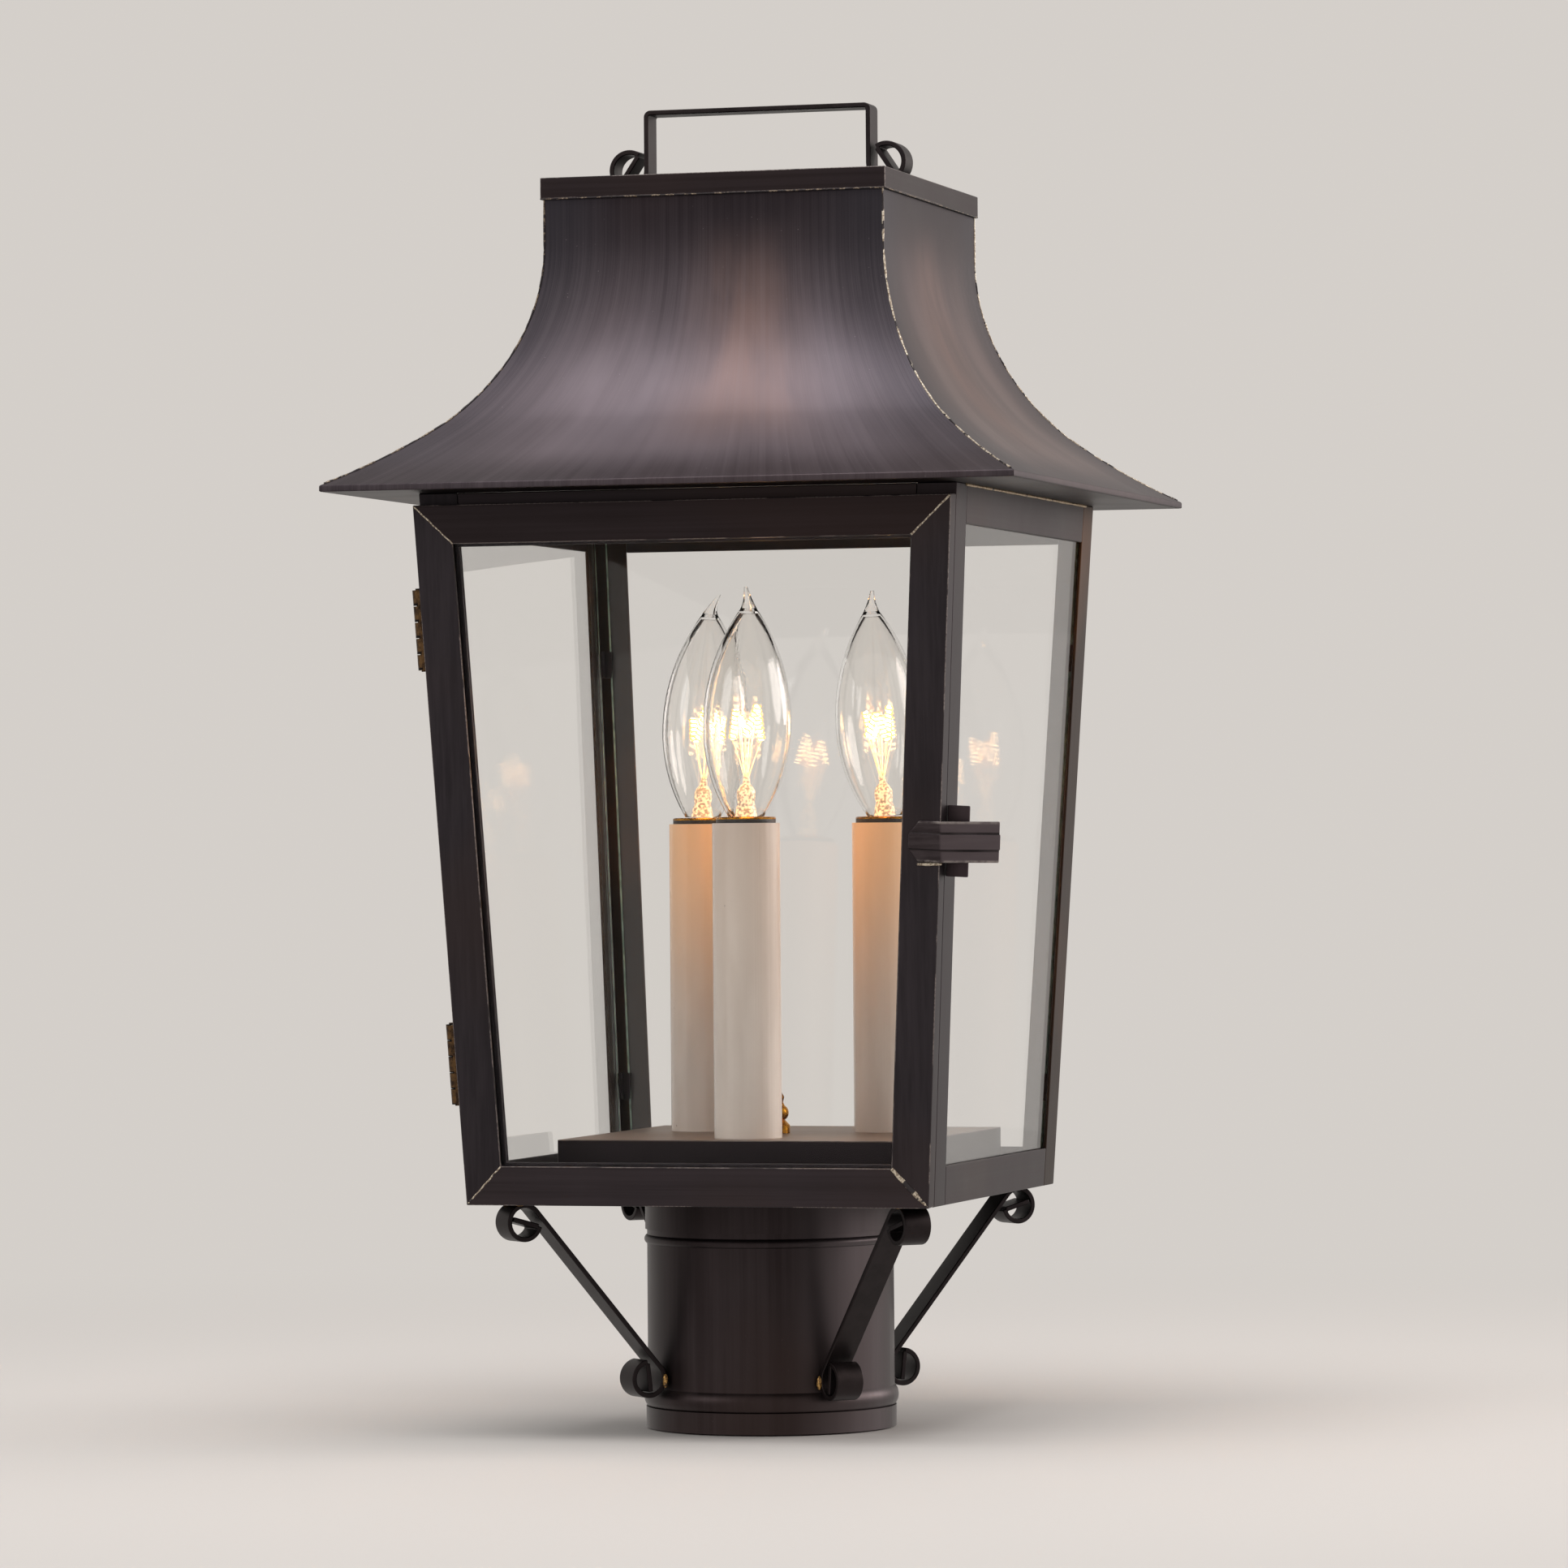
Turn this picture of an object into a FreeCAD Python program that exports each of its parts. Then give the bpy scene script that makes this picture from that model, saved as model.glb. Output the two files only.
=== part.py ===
import FreeCAD, Part
import math
import os
import Sketcher
from FreeCAD import Matrix, Placement, Rotation, Vector

# A post top lantern: a tapered, glazed body under a flared roof, standing on a round fitter
# that slips over a lamp post. +Z is up, the door faces -Y and the origin is at the centre of
# the fitter's lower rim. All lengths are in millimetres.

DIMENSIONS = {
    # fitter and post
    "post_diameter": 76.2,
    "post_slack": 1.4,
    "fitter_wall": 1.1,
    "fitter_height": 76.0,
    "band_thickness": 0.6,
    "foot_band_height": 6.8,
    "top_band_height": 11.0,
    "foot_bead_height": 6.5,
    "foot_bead_radius": 4.7,
    "top_bead_height": 3.0,
    "top_bead_radius": 1.7,
    "top_bead_drop": 12.8,
    "set_screw_radius": 2.5,
    "set_screw_height": 45.0,
    "screw_head_radius": 4.6,
    "screw_head_height": 2.8,
    "screw_head_lift": 0.9,
    "screw_slot_width": 1.2,
    "screw_slot_depth": 1.0,
    # tapered body
    "body_height": 228.4,
    "body_half_top": 89.4,
    "body_half_bottom": 76.8,
    "frame_sheet": 1.0,
    "post_leg": 13.0,
    "rail_height": 12.6,
    "floor_sheet": 1.0,
    "wire_hole_radius": 11.0,
    "wire_hole_place": 24.0,
    "glass_thickness": 2.4,
    "glass_gap": 0.1,
    "glass_lap": 7.0,
    "glass_foot_gap": 0.5,
    "glass_head_gap": 1.0,
    "seat_gap": 0.1,
    "joint_gap": 0.05,
    "clip_length": 9.0,
    "clip_reach": 5.0,
    "clip_sheet": 0.8,
    "clip_height": 28.0,
    "clip_gap": 0.6,
    # roof, cap and handle
    "eave_half": 114.3,
    "hem_height": 2.0,
    "roof_sheet": 0.8,
    "flare_half": 82.4,
    "flare_rise": 23.1,
    "flare_radius": 161.0,
    "bell_radius": 80.0,
    "bell_rise": 81.6,
    "roof_height": 96.4,
    "neck_half": 57.0,
    "cap_height": 6.8,
    "cap_sheet": 1.0,
    "soffit_sheet": 0.8,
    "soffit_lap": 12.0,
    "handle_rise": 26.4,
    "handle_half": 38.9,
    "handle_offset": 0.6,
    "handle_bend": 2.2,
    "handle_curl_radius": 6.8,
    "strap_width": 9.5,
    "strap_thickness": 1.6,
    # scroll braces
    "brace_curl_radius": 6.3,
    "brace_top_reach": 92.3,
    "brace_foot_height": 17.4,
    # door, hinges and latch
    "door_gap": 0.3,
    "door_depth": 6.5,
    "door_face": 12.6,
    "door_sheet": 1.0,
    "door_drop": 3.7,
    "door_lift": 0.3,
    "door_glass_inset": 4.0,
    "retainer_sheet": 1.0,
    "retainer_show": 1.0,
    "knuckle_radius": 2.1,
    "knuckle_gap": 0.2,
    "knuckle_stand": 2.4,
    "knuckle_length": 5.0,
    "pin_radius": 1.1,
    "pin_clearance": 0.05,
    "pin_overhang": 0.5,
    "leaf_thickness": 0.9,
    "door_leaf_width": 6.2,
    "frame_leaf_width": 10.0,
    "upper_hinge_height": 172.5,
    "lower_hinge_height": 32.5,
    "latch_height": 115.9,
    "latch_width": 13.0,
    "latch_rib": 5.0,
    "latch_rib_step": 0.7,
    "latch_sheet": 1.0,
    "latch_front_leg": 10.0,
    "latch_wing": 20.0,
    "latch_corner": 3.2,
    "keeper_height": 22.5,
    "keeper_reach": 7.3,
    "keeper_sheet": 1.2,
    "keeper_setback": 1.0,
    # candle cluster
    "pan_half": 58.0,
    "pan_height": 19.0,
    "pan_sheet": 0.8,
    "cluster_offset": 3.7,
    "candle_ring_radius": 36.5,
    "sleeve_radius": 11.0,
    "sleeve_wall": 1.0,
    "sleeve_height": 102.0,
    "socket_radius": 9.7,
    "socket_depth": 34.0,
    "socket_stand_out": 1.5,
    "socket_foot_gap": 0.8,
    "base_radius": 5.9,
    "base_length": 13.0,
    "base_clearance": 0.2,
    "contact_length": 2.0,
    "bulb_radius": 14.4,
    "bulb_neck_radius": 5.7,
    "bulb_end_radius": 3.1,
    "bulb_wide_height": 30.0,
    "bulb_height": 67.0,
    "bulb_wall": 0.8,
    "bulb_lift": 0.3,
    "tip_height": 7.5,
    "tip_reach": 2.8,
    "stem_height": 18.0,
    "filament_height": 34.0,
    "filament_crown": 5.0,
    "filament_spread": 4.5,
    "filament_radius": 0.4,
    "nipple_radius": 4.8,
    "nipple_bore": 3.2,
    "nipple_drop": 7.0,
    "nipple_rise": 4.5,
    "foot_disc_height": 1.5,
    "bracket_width": 8.0,
    "bracket_sheet": 1.2,
    "bracket_offset": 6.4,
    "bracket_arm_length": 10.0,
    "nut_flats": 12.7,
    "nut_height": 3.2,
    "rod_nut_flats": 8.6,
    "rod_radius": 2.1,
    "hole_clearance": 0.2,
    "finial_radius": 3.3,
    "finial_height": 14.5,
    "finial_bore": 2.0,
    "finial_cover": 0.6,
    "lead_radius": 0.9,
    "lead_bend": 3.0,
    "lead_spacing": 2.4,
    "lead_entry": 3.0,
    "wire_nut_radius": 5.0,
    "wire_nut_length": 17.0,
    "wire_nut_setback": 9.0,
}

SCREW_SPREAD = 30.0
CURL_END = 304.0
CURL_TAIL = 0.68
CURL_ROOT = 0.8
WING_SPLAY = 52.0
CANDLE_ANGLES = {"front": -90.0, "right": 30.0, "left": 150.0}
FILAMENT_ANGLES = {"front": -25.0, "right": 220.0, "left": 25.0}
TIP_ANGLES = {"front": -95.0, "right": -60.0, "left": 14.0}
# rings of a bulb's tip, as shares of its height, its sway and the envelope's end radius
TIP_RINGS = ((0.0, 0.0, 0.98), (0.28, 0.1, 0.66), (0.62, 0.48, 0.38), (1.0, 1.0, 0.2))
# length of the solid glass below the tip, in wall thicknesses
BULB_PLUG = 1.6
# how far each bulb leans in its socket, and the plan angle that it leans towards
BULB_LEANS = {"front": (1.2, 16.0), "right": (3.4, 196.0), "left": (2.6, 16.0)}
SIDE_ANGLES = {"front": 0.0, "right": 90.0, "back": 180.0, "left": 270.0}
CORNER_ANGLES = {"front_right": 0.0, "back_right": 90.0, "back_left": 180.0, "front_left": 270.0}

doc = FreeCAD.newDocument("PostTopLantern")
sheet = doc.addObject("Spreadsheet::Sheet", "Sizes")
for row, (name, number) in enumerate(DIMENSIONS.items(), start=1):
    sheet.set("A%d" % row, name)
    sheet.set("B%d" % row, str(number))
    sheet.setAlias("B%d" % row, name)
doc.recompute()

sub_parts = []


# A length that carries both its number and the formula that ties it to the sizes sheet.
class Size:
    def __init__(self, value, formula):
        self.value = value
        self.formula = formula

    def __add__(self, other):
        other = as_size(other)
        return Size(self.value + other.value, "(%s + %s)" % (self.formula, other.formula))

    def __sub__(self, other):
        other = as_size(other)
        return Size(self.value - other.value, "(%s - %s)" % (self.formula, other.formula))

    def __mul__(self, other):
        other = as_size(other)
        return Size(self.value * other.value, "(%s * %s)" % (self.formula, other.formula))

    def __truediv__(self, other):
        other = as_size(other)
        return Size(self.value / other.value, "(%s / %s)" % (self.formula, other.formula))

    def __radd__(self, other):
        return as_size(other) + self

    def __rsub__(self, other):
        return as_size(other) - self

    def __rmul__(self, other):
        return as_size(other) * self

    def __neg__(self):
        return as_size(0.0) - self


def as_size(quantity):
    if isinstance(quantity, Size):
        return quantity
    return Size(float(quantity), "%.9g" % quantity if quantity >= 0 else "(%.9g)" % quantity)


def size(name):
    return Size(DIMENSIONS[name], "Sizes." + name)


# ---------------------------------------------------------------- levels and slopes

fitter_bore = size("post_diameter") / 2 + size("post_slack")
fitter_outer = fitter_bore + size("fitter_wall")
band_outer = fitter_outer + size("band_thickness")

body_base = size("fitter_height")
body_top = body_base + size("body_height")
slope = (size("body_half_top") - size("body_half_bottom")) / size("body_height")
lean = math.atan(slope.value)
slant = size("body_height") * (1 / math.cos(lean))

eave_level = body_top
cap_low = eave_level + size("roof_height")
cap_top = cap_low + size("cap_height")
neck_top = cap_top - size("cap_sheet") - size("seat_gap")
pan_top = body_base + size("floor_sheet") + size("pan_height")
sleeve_top = pan_top + size("sleeve_height")
socket_top = sleeve_top + size("socket_stand_out")


# half the body's width at a distance up its sloping face
def half_at(distance):
    return size("body_half_bottom") + slope * math.cos(lean) * distance


# ---------------------------------------------------------------- building blocks

def new_body(label, placement=None):
    body = doc.addObject("PartDesign::Body", label)
    body.Label = label
    body.Placement = placement or Placement()
    sub_parts.append(body)
    return body


def origin_feature(body, role):
    return [item for item in body.Origin.OriginFeatures if item.Role == role][0]


def new_sketch(body, name, role="XY_Plane", offset=None):
    sketch = body.newObject("Sketcher::SketchObject", name)
    sketch.AttachmentSupport = [(origin_feature(body, role), "")]
    sketch.MapMode = "FlatFace"
    if offset is not None:
        sketch.AttachmentOffset = Placement(Vector(0, 0, as_size(offset).value), Rotation())
        sketch.setExpression("AttachmentOffset.Base.z", as_size(offset).formula)
    return sketch


def bind(sketch, index, quantity):
    sketch.setExpression("Constraints[%d]" % index, as_size(quantity).formula)


# fixes one end of a sketch line or arc at a pair of coordinates
def pin_point(sketch, line, end, place):
    for kind, axis, quantity in (("DistanceX", -2, place[0]), ("DistanceY", -1, place[1])):
        number = as_size(quantity).value
        if not isinstance(quantity, Size) and abs(number) < 1e-9:
            sketch.addConstraint(Sketcher.Constraint("PointOnObject", line, end, axis))
            continue
        index = sketch.addConstraint(Sketcher.Constraint(kind, -1, 1, line, end, number))
        if isinstance(quantity, Size):
            bind(sketch, index, quantity)


# An arc of a closed outline: its centre, radius and direction. Its ends are the outline's points.
class Arc:
    def __init__(self, centre, radius, clockwise=False):
        self.centre = centre
        self.radius = radius
        self.clockwise = clockwise


# centre of the arc of a given radius between two points, on the left or the right of the way
def arc_between(start, end, radius, clockwise=False):
    first = Vector(as_size(start[0]).value, as_size(start[1]).value, 0)
    last = Vector(as_size(end[0]).value, as_size(end[1]).value, 0)
    chord = last - first
    middle = (first + last) / 2
    height = math.sqrt(max(as_size(radius).value ** 2 - (chord.Length / 2) ** 2, 0.0))
    left = Vector(-chord.y, chord.x, 0).normalize()
    centre = middle - left * height if clockwise else middle + left * height
    return Arc((centre.x, centre.y), radius, clockwise)


# Closed outline through points. An Arc between two points makes that side round.
def add_outline(sketch, items):
    points = [item for item in items if not isinstance(item, Arc)]
    arcs = {}
    count = 0
    for item in items:
        if isinstance(item, Arc):
            arcs[count - 1] = item
        else:
            count += 1
    corners = [Vector(as_size(x).value, as_size(y).value, 0) for x, y in points]
    first_line = sketch.GeometryCount
    starts = []
    for index, start in enumerate(corners):
        end = corners[(index + 1) % len(corners)]
        arc = arcs.get(index)
        if arc is None:
            sketch.addGeometry(Part.LineSegment(start, end))
            starts.append((1, 2))
            continue
        centre = Vector(as_size(arc.centre[0]).value, as_size(arc.centre[1]).value, 0)
        low, high = (end, start) if arc.clockwise else (start, end)
        low_angle = math.atan2(low.y - centre.y, low.x - centre.x)
        high_angle = math.atan2(high.y - centre.y, high.x - centre.x)
        if high_angle <= low_angle:
            high_angle += 2 * math.pi
        circle = Part.Circle(centre, Vector(0, 0, 1), as_size(arc.radius).value)
        sketch.addGeometry(Part.ArcOfCircle(circle, low_angle, high_angle))
        starts.append((2, 1) if arc.clockwise else (1, 2))
    for index in range(len(corners)):
        following = (index + 1) % len(corners)
        sketch.addConstraint(Sketcher.Constraint(
            "Coincident", first_line + index, starts[index][1],
            first_line + following, starts[following][0]))
        pin_point(sketch, first_line + index, starts[index][0], points[index])
        if index in arcs:
            radius = arcs[index].radius
            line = first_line + index
            constraint = sketch.addConstraint(
                Sketcher.Constraint("Radius", line, as_size(radius).value))
            bind(sketch, constraint, radius)


def add_circle(sketch, x, y, radius):
    centre = Vector(as_size(x).value, as_size(y).value, 0)
    line = sketch.addGeometry(Part.Circle(centre, Vector(0, 0, 1), as_size(radius).value))
    pin_point(sketch, line, 3, (x, y))
    constraint = sketch.addConstraint(Sketcher.Constraint("Radius", line, as_size(radius).value))
    bind(sketch, constraint, radius)


def rectangle(low_x, low_y, high_x, high_y):
    return [(low_x, low_y), (high_x, low_y), (high_x, high_y), (low_x, high_y)]


def add_pad(body, sketch, length, midplane=False, reverse=False):
    pad = body.newObject("PartDesign::Pad", "Pad")
    pad.Profile = sketch
    pad.Length = as_size(length).value
    pad.setExpression("Length", as_size(length).formula)
    if midplane:
        pad.SideType = "Symmetric"
    pad.Reversed = reverse
    return pad


def add_through_pocket(body, sketch):
    pocket = body.newObject("PartDesign::Pocket", "Pocket")
    pocket.Profile = sketch
    pocket.Type = "ThroughAll"
    pocket.SideType = "Symmetric"
    return pocket


def add_revolution(body, sketch):
    turn = body.newObject("PartDesign::Revolution", "Revolution")
    turn.Profile = sketch
    turn.ReferenceAxis = (sketch, ["V_Axis"])
    turn.Angle = 360.0
    return turn


def add_loft(body, sketches):
    loft = body.newObject("PartDesign::AdditiveLoft", "Loft")
    loft.Profile = sketches[0]
    loft.Sections = [(sketch, [""]) for sketch in sketches[1:]]
    loft.Ruled = True
    return loft


def mirror_body(body, features):
    mirror = body.newObject("PartDesign::Mirrored", "Mirrored")
    mirror.Originals = features
    mirror.MirrorPlane = (origin_feature(body, "YZ_Plane"), [""])
    body.Tip = mirror
    return mirror


def turned(angle, place=None):
    return Placement(place or Vector(), Rotation(Vector(0, 0, 1), angle))


def placed_on_axes(x_axis, y_axis, origin):
    z_axis = x_axis.cross(y_axis)
    matrix = Matrix(
        x_axis.x, y_axis.x, z_axis.x, origin.x,
        x_axis.y, y_axis.y, z_axis.y, origin.y,
        x_axis.z, y_axis.z, z_axis.z, origin.z,
        0, 0, 0, 1)
    return Placement(matrix)


# Placement on one sloping face of the body: x along it, y up its slope and z outwards.
def on_face(side):
    front = placed_on_axes(
        Vector(1, 0, 0),
        Vector(0, -math.sin(lean), math.cos(lean)),
        Vector(0, -DIMENSIONS["body_half_bottom"], body_base.value))
    return turned(SIDE_ANGLES[side]).multiply(front)


# ---------------------------------------------------------------- fitter

def make_fitter():
    body = new_body("fitter")
    sketch = new_sketch(body, "FitterSection", "XZ_Plane")
    foot = size("foot_band_height")
    foot_bead = foot + size("foot_bead_height")
    top_bead_end = size("fitter_height") - size("top_bead_drop")
    top_bead = top_bead_end - size("top_bead_height")
    collar = size("fitter_height") - size("top_band_height")
    foot_arc = arc_between((fitter_outer, foot), (fitter_outer, foot_bead), size("foot_bead_radius"))
    top_arc = arc_between((fitter_outer, top_bead), (fitter_outer, top_bead_end),
                          size("top_bead_radius"))
    add_outline(sketch, [
        (fitter_bore, 0), (band_outer, 0), (band_outer, foot),
        (fitter_outer, foot), foot_arc, (fitter_outer, foot_bead),
        (fitter_outer, top_bead), top_arc, (fitter_outer, top_bead_end),
        (fitter_outer, collar), (band_outer, collar),
        (band_outer, size("fitter_height")), (fitter_bore, size("fitter_height"))])
    add_revolution(body, sketch)
    # plain holes for the two screws that hold the post
    for angle in (90.0 - SCREW_SPREAD, 90.0 + SCREW_SPREAD):
        hole = body.newObject("Sketcher::SketchObject", "ScrewHole")
        hole.AttachmentSupport = [(origin_feature(body, "YZ_Plane"), "")]
        hole.MapMode = "FlatFace"
        hole.AttachmentOffset = Placement(Vector(), Rotation(Vector(0, 1, 0), angle))
        add_circle(hole, 0, size("set_screw_height"), size("set_screw_radius") + size("seat_gap"))
        pocket = body.newObject("PartDesign::Pocket", "ScrewPocket")
        pocket.Profile = hole
        pocket.Reversed = True
        reach = fitter_outer + size("screw_head_height")
        pocket.Length = reach.value
        pocket.setExpression("Length", reach.formula)
    return body


def make_set_screws():
    group = doc.addObject("Part::Compound", "set_screws")
    group.Label = "set_screws"
    screws = []
    for number, sign in enumerate((-1, 1)):
        angle = 90.0 + sign * SCREW_SPREAD
        shank = doc.addObject("Part::Cylinder", "ScrewShank%d" % number)
        shank.setExpression("Radius", size("set_screw_radius").formula)
        shank_length = size("fitter_wall") + size("screw_head_lift")
        shank.setExpression("Height", shank_length.formula)
        head = doc.addObject("Part::Cylinder", "ScrewHead%d" % number)
        head.setExpression("Radius", size("screw_head_radius").formula)
        head.setExpression("Height", size("screw_head_height").formula)
        head.setExpression("Placement.Base.z", shank_length.formula)
        slot = doc.addObject("Part::Box", "ScrewSlot%d" % number)
        slot.setExpression("Length", (2 * size("screw_head_radius")).formula)
        slot.setExpression("Width", size("screw_slot_width").formula)
        slot.setExpression("Height", size("screw_head_height").formula)
        slot.setExpression("Placement.Base.x", (-size("screw_head_radius")).formula)
        slot.setExpression("Placement.Base.y", (-size("screw_slot_width") / 2).formula)
        slot_floor = shank_length + size("screw_head_height") - size("screw_slot_depth")
        slot.setExpression("Placement.Base.z", slot_floor.formula)
        whole = doc.addObject("Part::Fuse", "ScrewBody%d" % number)
        whole.Base = shank
        whole.Tool = head
        screw = doc.addObject("Part::Cut", "Screw%d" % number)
        screw.Base = whole
        screw.Tool = slot
        reach = (fitter_bore + size("seat_gap")).value
        direction = Vector(math.cos(math.radians(angle)), math.sin(math.radians(angle)), 0)
        place = direction * reach + Vector(0, 0, DIMENSIONS["set_screw_height"])
        screw.Placement = Placement(place, Rotation(Vector(0, 0, 1), direction))
        screws.append(screw)
    group.Links = screws
    sub_parts.append(group)


# ---------------------------------------------------------------- body frame and glazing

# an angle post whose outer edge follows the body's sloping corner
def make_corner_post(name, angle):
    body = new_body("corner_post_" + name, turned(angle))
    sections = []
    for level, half in ((body_base, size("body_half_bottom")), (body_top, size("body_half_top"))):
        section = new_sketch(body, "PostSection", offset=level)
        inner = half - size("frame_sheet")
        end = half - size("post_leg")
        add_outline(section, [
            (half, -half), (half, -end), (inner, -end),
            (inner, -inner), (end, -inner), (end, -half)])
        sections.append(section)
    add_loft(body, sections)


# a flat strip in the plane of one face, between two levels on the slope
def make_rail(label, side, low, high):
    body = new_body(label, on_face(side))
    sketch = new_sketch(body, "RailOutline")
    joint = size("post_leg") + size("joint_gap")
    add_outline(sketch, [
        (joint - half_at(low), low), (half_at(low) - joint, low),
        (half_at(high) - joint, high), (joint - half_at(high), high)])
    add_pad(body, sketch, size("frame_sheet"), reverse=True)


def make_glass(side):
    body = new_body("glass_" + side, on_face(side))
    depth = -(size("frame_sheet") + size("glass_gap"))
    sketch = new_sketch(body, "PaneOutline", offset=depth)
    low = size("floor_sheet") + size("glass_foot_gap")
    high = slant - size("glass_head_gap")
    edge = size("post_leg") - size("glass_lap")
    add_outline(sketch, [
        (edge - half_at(low), low), (half_at(low) - edge, low),
        (half_at(high) - edge, high), (edge - half_at(high), high)])
    add_pad(body, sketch, size("glass_thickness"), reverse=True)


# small tabs behind the panes, soldered to the posts' other legs
def make_glass_clips():
    group = doc.addObject("Part::Compound", "glass_clips")
    group.Label = "glass_clips"
    clips = []
    behind = size("frame_sheet") + 2 * size("glass_gap") + size("glass_thickness")
    for side in ("right", "back", "left"):
        for hand in (-1, 1):
            for number, level in enumerate((size("clip_height"), slant - 2 * size("clip_height"))):
                clip = doc.addObject("Part::Box", "Clip")
                clip.setExpression("Length", size("clip_reach").formula)
                clip.setExpression("Width", size("clip_length").formula)
                clip.setExpression("Height", size("clip_sheet").formula)
                reach = (half_at(level) - size("frame_sheet") - size("clip_gap")).value
                across = reach - DIMENSIONS["clip_reach"] if hand > 0 else -reach
                clip.Placement = on_face(side).multiply(Placement(
                    Vector(across, level.value, -(behind + size("clip_sheet")).value), Rotation()))
                clips.append(clip)
    group.Links = clips
    sub_parts.append(group)


def make_floor_plate():
    body = new_body("floor_plate")
    sketch = new_sketch(body, "FloorOutline", offset=body_base)
    half = size("body_half_bottom") - size("frame_sheet") - size("seat_gap")
    add_outline(sketch, rectangle(-half, -half, half, half))
    add_circle(sketch, -size("wire_hole_place"), 0, size("wire_hole_radius"))
    add_circle(sketch, size("cluster_offset"), 0, size("rod_radius") + size("hole_clearance"))
    add_pad(body, sketch, size("floor_sheet"))


def make_soffit():
    body = new_body("soffit")
    sketch = new_sketch(body, "SoffitOutline", offset=body_top)
    outer = size("eave_half") - size("roof_sheet") - size("seat_gap")
    inner = size("body_half_top") - size("soffit_lap")
    add_outline(sketch, rectangle(-outer, -outer, outer, outer))
    add_outline(sketch, rectangle(-inner, -inner, inner, inner))
    add_pad(body, sketch, size("soffit_sheet"))


# ---------------------------------------------------------------- roof, cap and handle

# One of four bell-shaped sheets: its section is drawn from the hem up to the neck, run across
# the roof and trimmed on both diagonals, where the sheets meet in soldered hips.
def make_roof_panel(side):
    body = new_body("roof_" + side, turned(SIDE_ANGLES[side] - 90.0))
    section = new_sketch(body, "RoofSection", "XZ_Plane")
    thick = size("roof_sheet")
    hem = eave_level + size("hem_height")
    break_level = eave_level + size("flare_rise")
    bell_level = eave_level + size("bell_rise")
    break_angle = math.asin((bell_level.value - break_level.value) / DIMENSIONS["bell_radius"])
    inward = thick * math.cos(break_angle)
    downward = thick * math.sin(break_angle)
    hem_inner = size("eave_half") - thick
    eave = (size("eave_half"), hem)
    bend = (size("flare_half"), break_level)
    neck = (size("neck_half"), bell_level)
    inner_neck = (size("neck_half") - thick, bell_level)
    inner_bend = (size("flare_half") - inward, break_level - downward)
    inner_eave = (hem_inner, hem - thick)
    add_outline(section, [
        (size("eave_half"), eave_level), eave,
        arc_between(eave, bend, size("flare_radius"), clockwise=True), bend,
        arc_between(bend, neck, size("bell_radius"), clockwise=True), neck,
        (size("neck_half"), neck_top), (size("neck_half") - thick, neck_top), inner_neck,
        arc_between(inner_neck, inner_bend, size("bell_radius") + thick), inner_bend,
        arc_between(inner_bend, inner_eave, size("flare_radius") + thick), inner_eave,
        (hem_inner, eave_level)])
    add_pad(body, section, 2 * size("eave_half"), midplane=True)
    corners = new_sketch(body, "HipTrim")
    far = size("eave_half") + 10
    add_outline(corners, [(0, 0), (far, far), (0, far)])
    add_outline(corners, [(0, 0), (0, -far), (far, -far)])
    add_through_pocket(body, corners)


def make_cap():
    body = new_body("cap")
    inner = size("neck_half") + size("joint_gap")
    outer = inner + size("cap_sheet")
    block = new_sketch(body, "CapOutline", offset=cap_low)
    add_outline(block, rectangle(-outer, -outer, outer, outer))
    add_pad(body, block, size("cap_height"))
    hollow = new_sketch(body, "CapHollow", offset=cap_low)
    add_outline(hollow, rectangle(-inner, -inner, inner, inner))
    pocket = body.newObject("PartDesign::Pocket", "CapPocket")
    pocket.Profile = hollow
    pocket.Reversed = True
    pocket.setExpression("Length", (size("cap_height") - size("cap_sheet")).formula)


# the arcs and end points of a curl, from the plan angle where the strap runs into it
def curl_items(centre_x, centre_y, radius, start_angle, clockwise):
    thick = size("strap_thickness")
    inner_radius = radius - thick
    sign = -1 if clockwise else 1
    end_angle = math.radians(start_angle + sign * CURL_END)
    outer_end = (centre_x + radius * math.cos(end_angle), centre_y + radius * math.sin(end_angle))
    inner_end = (centre_x + inner_radius * math.cos(end_angle),
                 centre_y + inner_radius * math.sin(end_angle))
    outer_arc = Arc((centre_x, centre_y), radius, clockwise)
    inner_arc = Arc((centre_x, centre_y), inner_radius, not clockwise)
    return outer_arc, outer_end, inner_end, inner_arc


# the straight tail from the curl's end across the ring, past its centre
def tail_outline(centre_x, centre_y, radius, start_angle, clockwise):
    thick = size("strap_thickness")
    sign = -1 if clockwise else 1
    angle = math.radians(start_angle + sign * CURL_END)
    along = (-math.cos(angle), -math.sin(angle))
    across = (math.sin(angle), -math.cos(angle))
    begin = radius - CURL_ROOT * thick
    finish = -CURL_TAIL * radius
    corners = []
    for reach, half in ((begin, -0.5), (finish, -0.5), (finish, 0.5), (begin, 0.5)):
        corners.append((centre_x - reach * along[0] + thick * half * across[0],
                        centre_y - reach * along[1] + thick * half * across[1]))
    return corners


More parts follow.
